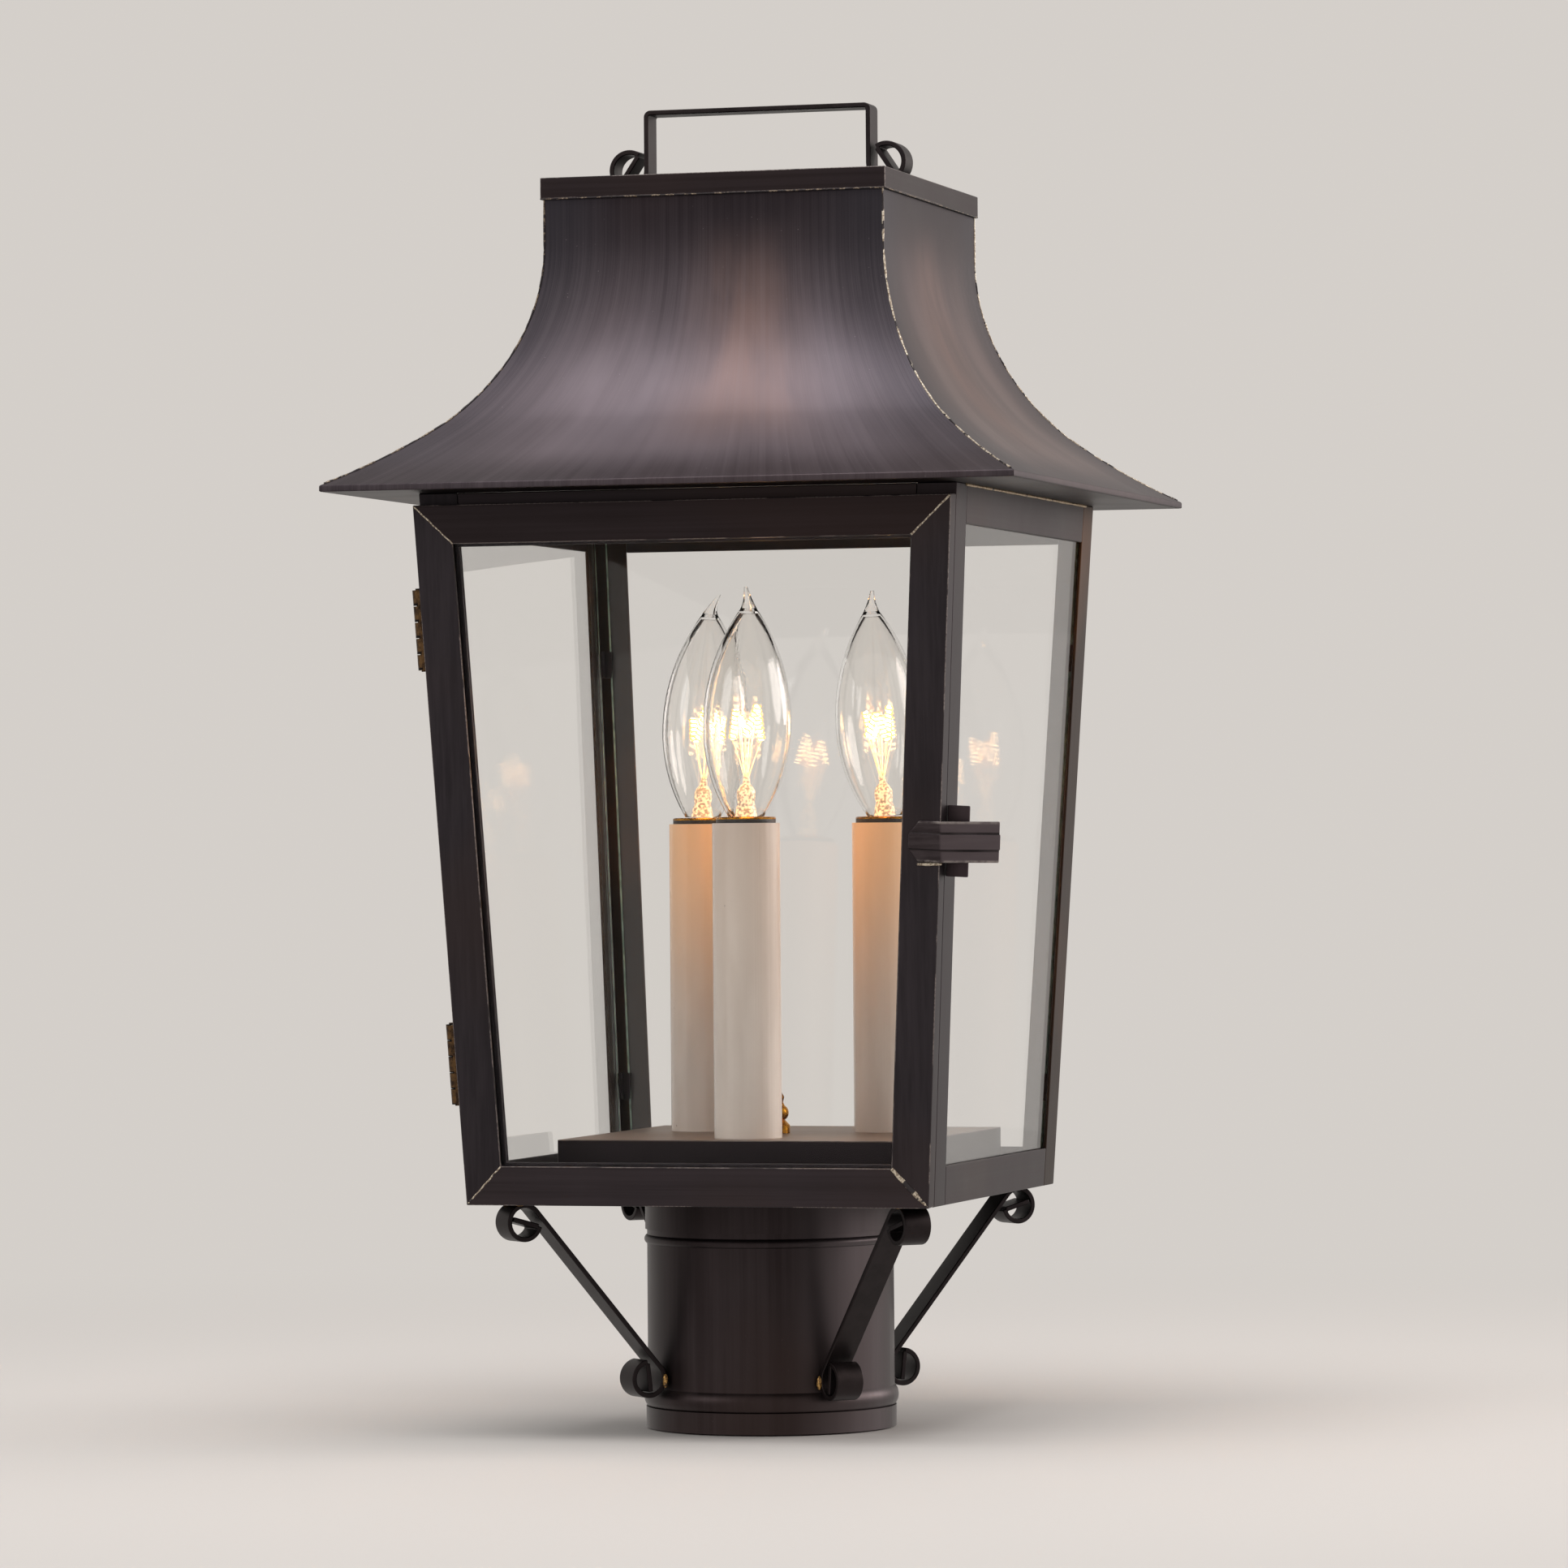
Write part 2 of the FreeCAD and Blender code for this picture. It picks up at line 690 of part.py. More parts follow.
def make_handle():
    body = new_body("handle", Placement(Vector(-DIMENSIONS["handle_offset"], 0, 0), Rotation()))
    sketch = new_sketch(body, "HandleOutline", "XZ_Plane")
    thick = size("strap_thickness")
    top = cap_top + size("handle_rise")
    leg = size("handle_half")
    bend = size("handle_bend")
    radius = size("handle_curl_radius")
    centre_x = leg - thick + radius
    centre_y = cap_top + radius
    outer_arc, outer_end, inner_end, inner_arc = curl_items(
        centre_x, centre_y, radius, 180.0, False)
    inner_leg = leg - thick
    corner = (leg - bend, top - bend)
    add_outline(sketch, [
        (0, top - thick), (leg - bend, top - thick), Arc(corner, bend - thick, True),
        (inner_leg, top - bend), (inner_leg, centre_y), outer_arc, outer_end, inner_end, inner_arc,
        (leg, centre_y), (leg, top - bend), Arc(corner, bend, False), (leg - bend, top), (0, top)])
    strap = add_pad(body, sketch, size("strap_width"), midplane=True)
    tail = new_sketch(body, "HandleTail", "XZ_Plane")
    add_outline(tail, tail_outline(centre_x, centre_y, radius, 180.0, False))
    tail_pad = add_pad(body, tail, size("strap_width"), midplane=True)
    mirror_body(body, [strap, tail_pad])


# Scroll brace, drawn with its straight run along x and a curl under each end, then set in the
# vertical plane through one corner of the body.
def make_brace(name, angle):
    thick = size("strap_thickness")
    radius = size("brace_curl_radius")
    foot_x = band_outer + radius + size("joint_gap")
    foot = Vector(foot_x.value, 0, DIMENSIONS["brace_foot_height"])
    head = Vector(DIMENSIONS["brace_top_reach"], 0,
                  (body_base - radius - size("joint_gap")).value)
    run = head - foot
    along = Vector(run).normalize()
    up = Vector(-along.z, 0, along.x)
    placement = turned(angle - 45.0).multiply(placed_on_axes(along, up, (foot + head) / 2))
    body = new_body("brace_" + name, placement)
    rise = body_base - radius - size("joint_gap") - size("brace_foot_height")
    reach = size("brace_top_reach") - foot_x
    ratio = run.Length / (abs(run.x) + abs(run.z))
    half = (rise + reach) * (ratio / 2)
    outer_arc, outer_end, inner_end, inner_arc = curl_items(half, 0, radius, 90.0, True)
    sketch = new_sketch(body, "BraceOutline")
    add_outline(sketch, [
        (0, radius), (half, radius), outer_arc, outer_end, inner_end, inner_arc,
        (half, radius - thick), (0, radius - thick)])
    strap = add_pad(body, sketch, size("strap_width"), midplane=True)
    tail = new_sketch(body, "BraceTail")
    add_outline(tail, tail_outline(half, 0, radius, 90.0, True))
    tail_pad = add_pad(body, tail, size("strap_width"), midplane=True)
    mirror_body(body, [strap, tail_pad])


# ---------------------------------------------------------------- door

door_low = size("door_lift")
door_high = slant - size("door_drop")


# a corner of the door's outline, moved in from both edges by the same distance
def door_corner(hand, upper, inset):
    level = door_high - inset if upper else door_low + inset
    return (hand * (half_at(level) - inset), level)


DOOR_MEMBERS = {
    "door_rail_bottom": ((-1, False), (1, False)),
    "door_stile_right": ((1, False), (1, True)),
    "door_rail_top": ((1, True), (-1, True)),
    "door_stile_left": ((-1, True), (-1, False)),
}


# an angle strip with mitred ends: a face on the outside and a return towards the frame
def make_door_member(label, ends):
    body = new_body(label, on_face("front"))
    front = size("door_gap") + size("door_depth")
    for inset, depth in ((size("door_face"), size("door_sheet")),
                         (size("door_sheet"), size("door_depth"))):
        sketch = new_sketch(body, "MemberOutline", offset=front)
        (hand_a, upper_a), (hand_b, upper_b) = ends
        add_outline(sketch, [
            door_corner(hand_a, upper_a, as_size(0.0)), door_corner(hand_b, upper_b, as_size(0.0)),
            door_corner(hand_b, upper_b, inset), door_corner(hand_a, upper_a, inset)])
        add_pad(body, sketch, depth, reverse=True)


def door_ring(inset):
    return [door_corner(-1, False, inset), door_corner(1, False, inset),
            door_corner(1, True, inset), door_corner(-1, True, inset)]


def make_door_glass():
    body = new_body("door_glass", on_face("front"))
    depth = size("door_gap") + size("door_depth") - size("door_sheet") - size("glass_gap")
    sketch = new_sketch(body, "PaneOutline", offset=depth)
    add_outline(sketch, door_ring(size("door_glass_inset")))
    add_pad(body, sketch, size("glass_thickness"), reverse=True)


# flat frame behind the pane that keeps it against the door's face
def make_door_retainer():
    body = new_body("door_retainer", on_face("front"))
    depth = (size("door_gap") + size("door_depth") - size("door_sheet")
             - 2 * size("glass_gap") - size("glass_thickness"))
    sketch = new_sketch(body, "RetainerOutline", offset=depth)
    outer = size("door_sheet") + size("joint_gap")
    add_outline(sketch, door_ring(outer))
    add_outline(sketch, door_ring(size("door_face") + size("retainer_show")))
    add_pad(body, sketch, size("retainer_sheet"), reverse=True)


# ---------------------------------------------------------------- hinges

# The hinge axis runs beside the body's sloping front left edge. Its own frame has z up that
# edge, x out of the left face and y towards the front.
def hinge_placement(height=0.0):
    edge = Vector(-slope.value, -slope.value, 1).normalize()
    outward = Vector(-math.cos(lean), 0, -math.sin(lean))
    forward = edge.cross(outward)
    corner = Vector(-DIMENSIONS["body_half_bottom"], -DIMENSIONS["body_half_bottom"],
                    body_base.value)
    return placed_on_axes(outward, forward, corner + edge * height)


KNUCKLES = 5


def make_hinge_leaf(label, hinge_height, forward, width, own):
    hand = 1 if forward else -1
    middle = size("door_gap") / 2
    clear = size("knuckle_stand") + size("knuckle_gap")
    seat = DIMENSIONS["joint_gap"] if forward else 0.0
    pitch = size("knuckle_length") + size("knuckle_gap")
    tall = KNUCKLES * pitch - size("knuckle_gap")
    shapes = []

    def block(y_low, y_high, z_low, z_high):
        low = min(y_low.value, y_high.value)
        box = Part.makeBox(DIMENSIONS["leaf_thickness"] - seat, abs(y_high.value - y_low.value),
                           z_high.value - z_low.value, Vector(seat, low, z_low.value))
        shapes.append(box)

    block(middle + hand * clear, middle + hand * width, as_size(0.0), tall)
    for number in own:
        low = pitch * number
        high = low + size("knuckle_length")
        block(middle, middle + hand * (clear + size("knuckle_gap")), low, high)
        barrel = Part.makeCylinder(
            DIMENSIONS["knuckle_radius"], DIMENSIONS["knuckle_length"],
            Vector(DIMENSIONS["knuckle_stand"], middle.value, low.value))
        shapes.append(barrel)
    leaf = shapes[0].fuse(shapes[1:]).removeSplitter()
    bore = Part.makeCylinder(
        DIMENSIONS["pin_radius"] + DIMENSIONS["pin_clearance"], tall.value,
        Vector(DIMENSIONS["knuckle_stand"], middle.value, 0))
    leaf = leaf.cut(bore)
    feature = doc.addObject("Part::Feature", label)
    feature.Shape = leaf
    feature.Placement = hinge_placement(hinge_height)
    return feature


def make_hinges():
    heights = {name: DIMENSIONS[name + "_hinge_height"] for name in ("upper", "lower")}
    for owner, forward, width, own in (("frame", False, size("frame_leaf_width"), (0, 2, 4)),
                                       ("door", True, size("door_leaf_width"), (1, 3))):
        group = doc.addObject("Part::Compound", "hinge_%s_leaves" % owner)
        group.Label = "hinge_%s_leaves" % owner
        group.Links = [
            make_hinge_leaf("%s_%s_leaf" % (name, owner), height, forward, width, own)
            for name, height in heights.items()]
        sub_parts.append(group)
    group = doc.addObject("Part::Compound", "hinge_pins")
    group.Label = "hinge_pins"
    pitch = size("knuckle_length") + size("knuckle_gap")
    tall = KNUCKLES * pitch - size("knuckle_gap")
    pins = []
    for name, height in heights.items():
        pin = doc.addObject("Part::Cylinder", "Pin_" + name)
        pin.setExpression("Radius", size("pin_radius").formula)
        pin.setExpression("Height", (tall + 2 * size("pin_overhang")).formula)
        place = Placement(Vector(DIMENSIONS["knuckle_stand"], DIMENSIONS["door_gap"] / 2,
                                 -DIMENSIONS["pin_overhang"]), Rotation())
        pin.Placement = hinge_placement(height).multiply(place)
        pins.append(pin)
    group.Links = pins
    sub_parts.append(group)


# ---------------------------------------------------------------- latch

# Placement at the door's front right edge, at the latch's height: x to the right, y outwards
# through the face and z down the edge, which slopes both ways.
def latch_placement():
    level = size("latch_height")
    front = DIMENSIONS["door_gap"] + DIMENSIONS["door_depth"]
    place = Placement(Vector(half_at(level).value, level.value, front),
                      Rotation(Vector(0, 0, 1), -math.degrees(lean)))
    upright = Placement(Vector(), Rotation(Vector(1, 0, 0), 90))
    return on_face("front").multiply(place).multiply(upright)


# Strap round the door's edge: a short leg on the face and a splayed wing, both with a raised
# rib along the middle. The leg's end is cut off at both corners.
def make_latch():
    body = new_body("latch_strap", latch_placement())
    splay = math.radians(WING_SPLAY)
    leg = size("latch_front_leg")
    wing_x = size("latch_wing") * math.sin(splay)
    wing_y = -(size("latch_wing") * math.cos(splay))
    mitre = math.tan((math.pi / 2 - splay) / 2)
    for width, thick in ((size("latch_width"), size("latch_sheet")),
                         (size("latch_rib"), size("latch_sheet") + size("latch_rib_step"))):
        plan = new_sketch(body, "StrapPlan")
        add_outline(plan, [
            (-leg, 0), (0, 0), (wing_x, wing_y),
            (wing_x + thick * math.cos(splay), wing_y + thick * math.sin(splay)),
            (thick * mitre, thick), (-leg, thick)])
        add_pad(body, plan, width, midplane=True)
    ends = new_sketch(body, "LegEnd", "XZ_Plane")
    half = size("latch_width") / 2
    point = size("latch_rib") / 2
    beyond = -leg - thick
    side = half + size("joint_gap")
    for hand in (-1, 1):
        add_outline(ends, [
            (beyond, hand * point), (-leg, hand * point),
            (size("latch_corner") - leg, hand * side), (beyond, hand * side)])
    add_through_pocket(body, ends)


def make_keeper():
    body = new_body("keeper_plate", latch_placement())
    front = -(size("door_depth") + size("keeper_setback"))
    sketch = new_sketch(body, "KeeperPlan")
    root = size("seat_gap")
    add_outline(sketch, rectangle(root, front - size("keeper_sheet"), size("keeper_reach"), front))
    add_pad(body, sketch, size("keeper_height"), midplane=True)


# ---------------------------------------------------------------- candle cluster

def make_pan():
    body = new_body("candle_pan", Placement(Vector(DIMENSIONS["cluster_offset"], 0, 0), Rotation()))
    body.setExpression("Placement.Base.x", size("cluster_offset").formula)
    floor = body_base + size("floor_sheet")
    half = size("pan_half")
    block = new_sketch(body, "PanOutline", offset=floor)
    add_outline(block, rectangle(-half, -half, half, half))
    add_pad(body, block, size("pan_height"))
    inner = half - size("pan_sheet")
    hollow = new_sketch(body, "PanHollow", offset=floor)
    add_outline(hollow, rectangle(-inner, -inner, inner, inner))
    pocket = body.newObject("PartDesign::Pocket", "PanPocket")
    pocket.Profile = hollow
    pocket.Reversed = True
    pocket.setExpression("Length", (size("pan_height") - size("pan_sheet")).formula)
    holes = new_sketch(body, "PanHoles", offset=floor)
    add_circle(holes, 0, 0, size("rod_radius") + size("hole_clearance"))
    for angle in CANDLE_ANGLES.values():
        turn = math.radians(angle)
        add_circle(holes, size("candle_ring_radius") * math.cos(turn),
                   size("candle_ring_radius") * math.sin(turn), size("nipple_radius") + size("hole_clearance"))
    add_through_pocket(body, holes)


def candle_place(name, level):
    turn = math.radians(CANDLE_ANGLES[name])
    return Vector(DIMENSIONS["cluster_offset"] + DIMENSIONS["candle_ring_radius"] * math.cos(turn),
                  DIMENSIONS["candle_ring_radius"] * math.sin(turn), as_size(level).value)


def make_sleeve(name):
    body = new_body("candle_sleeve_" + name, Placement(candle_place(name, pan_top), Rotation()))
    sketch = new_sketch(body, "SleeveRing")
    add_circle(sketch, 0, 0, size("sleeve_radius"))
    add_circle(sketch, 0, 0, size("sleeve_radius") - size("sleeve_wall"))
    add_pad(body, sketch, size("sleeve_height"))


# lamp holder inside the sleeve's mouth, open above for the bulb's base
def make_socket(name):
    body = new_body("socket_" + name, Placement(candle_place(name, socket_top), Rotation()))
    sketch = new_sketch(body, "SocketSection", "XZ_Plane")
    outer = size("socket_radius")
    bore = size("base_radius") + size("base_clearance")
    seat = size("base_length") + size("contact_length") + size("seat_gap")
    add_outline(sketch, [
        (0, -size("socket_depth")), (outer, -size("socket_depth")), (outer, as_size(0.0)),
        (bore, as_size(0.0)), (bore, -seat), (0, -seat)])
    add_revolution(body, sketch)


# threaded nipple through the pan with a foot disc and a flat bracket up to the socket
def make_socket_stands():
    group = doc.addObject("Part::Compound", "socket_stands")
    group.Label = "socket_stands"
    stands = []
    drop = DIMENSIONS["nipple_drop"]
    length = drop + DIMENSIONS["nipple_rise"]
    foot_radius = (size("sleeve_radius") - size("sleeve_wall") - size("socket_foot_gap")).value
    sheet_metal = DIMENSIONS["bracket_sheet"]
    wide = DIMENSIONS["bracket_width"]
    offset = DIMENSIONS["bracket_offset"]
    arm_length = DIMENSIONS["bracket_arm_length"]
    tall = (socket_top - size("socket_depth") - pan_top - size("joint_gap")).value
    for name in CANDLE_ANGLES:
        tube = Part.makeCylinder(DIMENSIONS["nipple_radius"], length, Vector(0, 0, -drop))
        foot = Part.makeCylinder(foot_radius, DIMENSIONS["foot_disc_height"])
        bar = Part.makeBox(sheet_metal, wide, tall, Vector(offset, -wide / 2, 0))
        arm = Part.makeBox(arm_length, wide, sheet_metal,
                           Vector(offset + sheet_metal - arm_length, -wide / 2,
                                  tall - sheet_metal))
        bore = Part.makeCylinder(DIMENSIONS["nipple_bore"], length, Vector(0, 0, -drop))
        stand = tube.fuse([foot, bar, arm]).cut(bore).removeSplitter()
        feature = doc.addObject("Part::Feature", "Stand_" + name)
        feature.Shape = stand
        feature.Placement = Placement(candle_place(name, pan_top), Rotation())
        stands.append(feature)
    group.Links = stands
    sub_parts.append(group)


def hexagon_nut(label, bore, flats, height):
    nut = doc.addObject("Part::Prism", label + "Hex")
    nut.Polygon = 6
    nut.setExpression("Circumradius", (flats * (1 / math.sqrt(3))).formula)
    nut.setExpression("Height", height.formula)
    hole = doc.addObject("Part::Cylinder", label + "Hole")
    hole.setExpression("Radius", bore.formula)
    hole.setExpression("Height", height.formula)
    cut = doc.addObject("Part::Cut", label)
    cut.Base = nut
    cut.Tool = hole
    return cut


# hexagon nuts under the pan that clamp the three stands
def make_stand_nuts():
    group = doc.addObject("Part::Compound", "stand_nuts")
    group.Label = "stand_nuts"
    nuts = []
    level = pan_top - size("pan_sheet") - size("nut_height") - size("joint_gap")
    bore = size("nipple_radius") + size("joint_gap")
    for name in CANDLE_ANGLES:
        nut = hexagon_nut("StandNut_" + name, bore, size("nut_flats"), size("nut_height"))
        nut.Placement = Placement(candle_place(name, level), Rotation())
        nuts.append(nut)
    group.Links = nuts
    sub_parts.append(group)


# rod that draws the pan down, screwed into a nut that is welded on the floor plate
def make_centre_rod():
    rod = doc.addObject("Part::Cylinder", "centre_rod")
    rod.Label = "centre_rod"
    rod.setExpression("Radius", size("rod_radius").formula)
    low = body_base + size("seat_gap")
    rod.setExpression("Height", (pan_top + size("finial_bore") - low).formula)
    rod.Placement = Placement(Vector(DIMENSIONS["cluster_offset"], 0, low.value), Rotation())
    sub_parts.append(rod)
    nut = hexagon_nut("rod_nut", size("rod_radius") + size("joint_gap"), size("rod_nut_flats"),
                      size("nut_height"))
    nut.Label = "rod_nut"
    level = body_base + size("floor_sheet") + size("joint_gap")
    nut.Placement = Placement(Vector(DIMENSIONS["cluster_offset"], 0, level.value), Rotation())
    sub_parts.append(nut)


# turned knob on the rod's upper end: base, neck, ball and a small bead on top
def make_finial():
    place = Vector(DIMENSIONS["cluster_offset"], 0, (pan_top + size("joint_gap")).value)
    body = new_body("finial", Placement(place, Rotation()))
    sketch = new_sketch(body, "FinialSection", "XZ_Plane")
    wide = size("finial_radius")
    tall = size("finial_height")
    bore = size("rod_radius") + size("joint_gap")
    base = size("finial_bore") + size("finial_cover")
    neck = 0.30 * tall
    ball = 0.62 * tall
    bead_low = 0.70 * tall
    add_outline(sketch, [
        (0, size("finial_bore")), (bore, size("finial_bore")), (bore, 0), (wide, 0), (wide, base),
        (wide * 0.5, neck),
        arc_between((wide * 0.5, neck), (wide * 0.5, ball), wide * 0.84), (wide * 0.5, ball),
        (wide * 0.32, bead_low), (wide * 0.45, 0.82 * tall), (0, tall)])
    add_revolution(body, sketch)


# ---------------------------------------------------------------- bulbs

# Placement of a bulb's neck over its socket. The bulb leans a little, about the neck's middle.
def bulb_place(name):
    degrees, towards = BULB_LEANS[name]
    turn = math.radians(towards)
    lift = size("bulb_lift") + size("bulb_neck_radius") * math.tan(math.radians(degrees))
    axis = Vector(-math.sin(turn), math.cos(turn), 0)
    return Placement(candle_place(name, socket_top + lift), Rotation(axis, degrees))


# Radius of the arc that leaves the widest point upright and closes in by one distance over
# another.
def flank_radius(inward, tall):
    return (inward * inward + tall * tall) / (2 * inward)


# flame-shaped envelope with a solid bent tip
def make_bulb(name):
    swing = Placement(Vector(), Rotation(Vector(0, 0, 1), TIP_ANGLES[name]))
    body = new_body("bulb_glass_" + name, bulb_place(name).multiply(swing))
    sketch = new_sketch(body, "BulbSection", "XZ_Plane")
    wall = size("bulb_wall")
    tall = size("bulb_height")
    wide = size("bulb_radius")
    middle = size("bulb_wide_height")
    neck = size("bulb_neck_radius")
    end = size("bulb_end_radius")
    plug = tall - BULB_PLUG * wall
    lower = flank_radius(wide - neck, middle)
    upper = flank_radius(wide - end, tall - middle)
    inner_upper = flank_radius(wide - end, plug - middle)
    outer = [(neck, 0), (wide, middle), (end, tall)]
    inner = [(neck - wall, 0), (wide - wall, middle), (end - wall, plug)]
    add_outline(sketch, [
        outer[0], arc_between(outer[0], outer[1], lower),
        outer[1], arc_between(outer[1], outer[2], upper),
        outer[2], (0, tall), (0, plug),
        inner[2], arc_between(inner[2], inner[1], inner_upper, clockwise=True),
        inner[1], arc_between(inner[1], inner[0], lower, clockwise=True), inner[0]])
    add_revolution(body, sketch)
    rings = []
    for height, sway, radius in TIP_RINGS:
        ring = new_sketch(body, "TipRing", offset=tall + size("tip_height") * height)
        reach = size("tip_reach") * sway if sway else 0
        add_circle(ring, reach, 0, end * radius)
        rings.append(ring)
    loft = add_loft(body, rings)
    loft.Ruled = False


# screw bases of the three bulbs with their end contacts
def make_bulb_bases():
    group = doc.addObject("Part::Compound", "bulb_bases")
    group.Label = "bulb_bases"
    bases = []
    for name in CANDLE_ANGLES:
        shell = doc.addObject("Part::Cylinder", "BaseShell_" + name)
        shell.setExpression("Radius", size("base_radius").formula)
        shell.setExpression("Height", (size("base_length") + size("bulb_lift") / 2).formula)
        contact = doc.addObject("Part::Cylinder", "BaseContact_" + name)
        contact.setExpression("Radius", (size("base_radius") * 0.42).formula)
        contact.setExpression("Height", (size("contact_length") + size("seat_gap")).formula)
        contact.setExpression("Placement.Base.z", (-size("contact_length")).formula)
        base = doc.addObject("Part::Fuse", "Base_" + name)
        base.Base = shell
        base.Tool = contact
        base.Placement = Placement(candle_place(name, socket_top - size("base_length")),
                                   Rotation())
        bases.append(base)
    group.Links = bases
    sub_parts.append(group)


# glass stem, two support wires and the filament between them, inside each bulb
def make_filaments():
    group = doc.addObject("Part::Compound", "bulb_filaments")
    group.Label = "bulb_filaments"
    radius = DIMENSIONS["filament_radius"]
    bead = radius + DIMENSIONS["seat_gap"]
    stem_end = 4 * radius
    stem_foot = (size("bulb_neck_radius") - 2 * size("bulb_wall")).value
    stem_top = DIMENSIONS["stem_height"]
    crown = Vector(0, 0, DIMENSIONS["filament_height"] + DIMENSIONS["filament_crown"])
    items = []
    for name in CANDLE_ANGLES:
        stem = Part.makeCone(stem_foot, stem_end, stem_top)
        pieces = [Part.makeSphere(bead, crown)]
        for hand in (-1, 1):
            start = Vector(hand * stem_end / 2, 0, stem_top - radius)
            top = Vector(hand * DIMENSIONS["filament_spread"], 0, DIMENSIONS["filament_height"])
            pieces.append(Part.makeCylinder(radius, (top - start).Length, start, top - start))
            pieces.append(Part.makeSphere(bead, top))
            pieces.append(Part.makeCylinder(radius, (crown - top).Length, top, crown - top))
        feature = doc.addObject("Part::Feature", "Filament_" + name)
        feature.Shape = stem.fuse(pieces).removeSplitter()
        turn = Placement(Vector(0, 0, DIMENSIONS["bulb_lift"]),
                         Rotation(Vector(0, 0, 1), FILAMENT_ANGLES[name]))
        feature.Placement = bulb_place(name).multiply(turn)
        items.append(feature)
    group.Links = items
    sub_parts.append(group)


# ---------------------------------------------------------------- wiring under the pan

# each colour of lead has its own nut, at its own distance from the middle and its own height
# above the floor plate
NUT_PLACES = {"white_wire_nut": (9.0, 5.2), "black_wire_nut": (-9.0, 8.0)}


def wire_nut_mouth(across, height):
    floor = (body_base + size("floor_sheet")).value
    back = DIMENSIONS["wire_hole_place"] + DIMENSIONS["wire_nut_setback"]
    return Vector(-back, across, floor + height)


def make_wire_nuts():
    group = doc.addObject("Part::Compound", "wire_nuts")
    group.Label = "wire_nuts"
    nuts = []
    for label, (across, height) in NUT_PLACES.items():
        nut = doc.addObject("Part::Cone", label)
        nut.setExpression("Radius1", size("wire_nut_radius").formula)
        nut.setExpression("Radius2", (size("wire_nut_radius") * 0.6).formula)
        nut.setExpression("Height", size("wire_nut_length").formula)
        nut.Placement = Placement(wire_nut_mouth(across, height),
                                  Rotation(Vector(0, 0, 1), Vector(-1, 0, 0)))
        nuts.append(nut)
    group.Links = nuts
    sub_parts.append(group)


# A lead drops out of its nipple, bends once and runs level to its wire nut's mouth.
def make_leads():
    group = doc.addObject("Part::Compound", "socket_leads")
    group.Label = "socket_leads"
    radius = DIMENSIONS["lead_radius"]
    bend = DIMENSIONS["lead_bend"]
    items = []
    for across, height in NUT_PLACES.values():
        hand = 1 if across > 0 else -1
        for number, name in enumerate(CANDLE_ANGLES):
            start = candle_place(name, pan_top - size("nipple_drop") + size("lead_entry"))
            start += Vector(0, hand * 1.5 * radius, 0)
            spread = (number - 1) * DIMENSIONS["lead_spacing"]
            mouth = wire_nut_mouth(across, height) + Vector(radius, spread, 0)
            corner = Vector(start.x, start.y, mouth.z)
            level = mouth - corner
            toward = Vector(level).normalize()
            drop_end = corner + Vector(0, 0, bend)
            run_start = corner + toward * bend
            middle = corner + (Vector(0, 0, 1) + toward) * bend * (1 - math.sqrt(0.5))
            path = Part.Wire([
                Part.LineSegment(start, drop_end).toShape(),
                Part.Arc(drop_end, middle, run_start).toShape(),
                Part.LineSegment(run_start, mouth).toShape()])
            ring = Part.Wire([Part.Circle(start, Vector(0, 0, -1), radius).toShape()])
            feature = doc.addObject("Part::Feature", "Lead_" + name)
            feature.Shape = path.makePipeShell([ring], True, False)
            items.append(feature)
    group.Links = items
    sub_parts.append(group)


# ---------------------------------------------------------------- assembly

make_fitter()
make_set_screws()
for corner, angle in CORNER_ANGLES.items():
    make_corner_post(corner, angle)
    make_brace(corner, angle)
for side in SIDE_ANGLES:
    make_rail("bottom_rail_" + side, side, as_size(0.0), size("rail_height"))
    make_rail("top_rail_" + side, side, slant - size("rail_height"), slant - size("seat_gap"))
    make_roof_panel(side)
for side in ("right", "back", "left"):
    make_glass(side)
make_glass_clips()
make_floor_plate()
make_soffit()
make_cap()
make_handle()
for label, ends in DOOR_MEMBERS.items():
    make_door_member(label, ends)
make_door_glass()
make_door_retainer()
make_hinges()
make_latch()
make_keeper()
make_pan()
for candle in CANDLE_ANGLES:
    make_sleeve(candle)
    make_socket(candle)
    make_bulb(candle)
make_socket_stands()
make_stand_nuts()
make_centre_rod()
make_finial()
make_bulb_bases()
make_filaments()
make_wire_nuts()
make_leads()
doc.recompute()

for item in doc.Objects:
    if "Invalid" in item.State or "Error" in item.State:
        raise RuntimeError("%s did not build: %s" % (item.Label, item.State))
for item in sub_parts:
    if item.Shape.isNull() or not item.Shape.isValid():
        raise RuntimeError("%s has no sound shape" % item.Label)

os.makedirs("parts", exist_ok=True)
for item in sub_parts:
    item.Shape.exportStep("parts/%s.step" % item.Label)
    print("%-28s %d solids %10.1f mm3" % (
        item.Label, len(item.Shape.Solids), item.Shape.Volume))
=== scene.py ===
import math

import bpy
from mathutils import Matrix, Vector


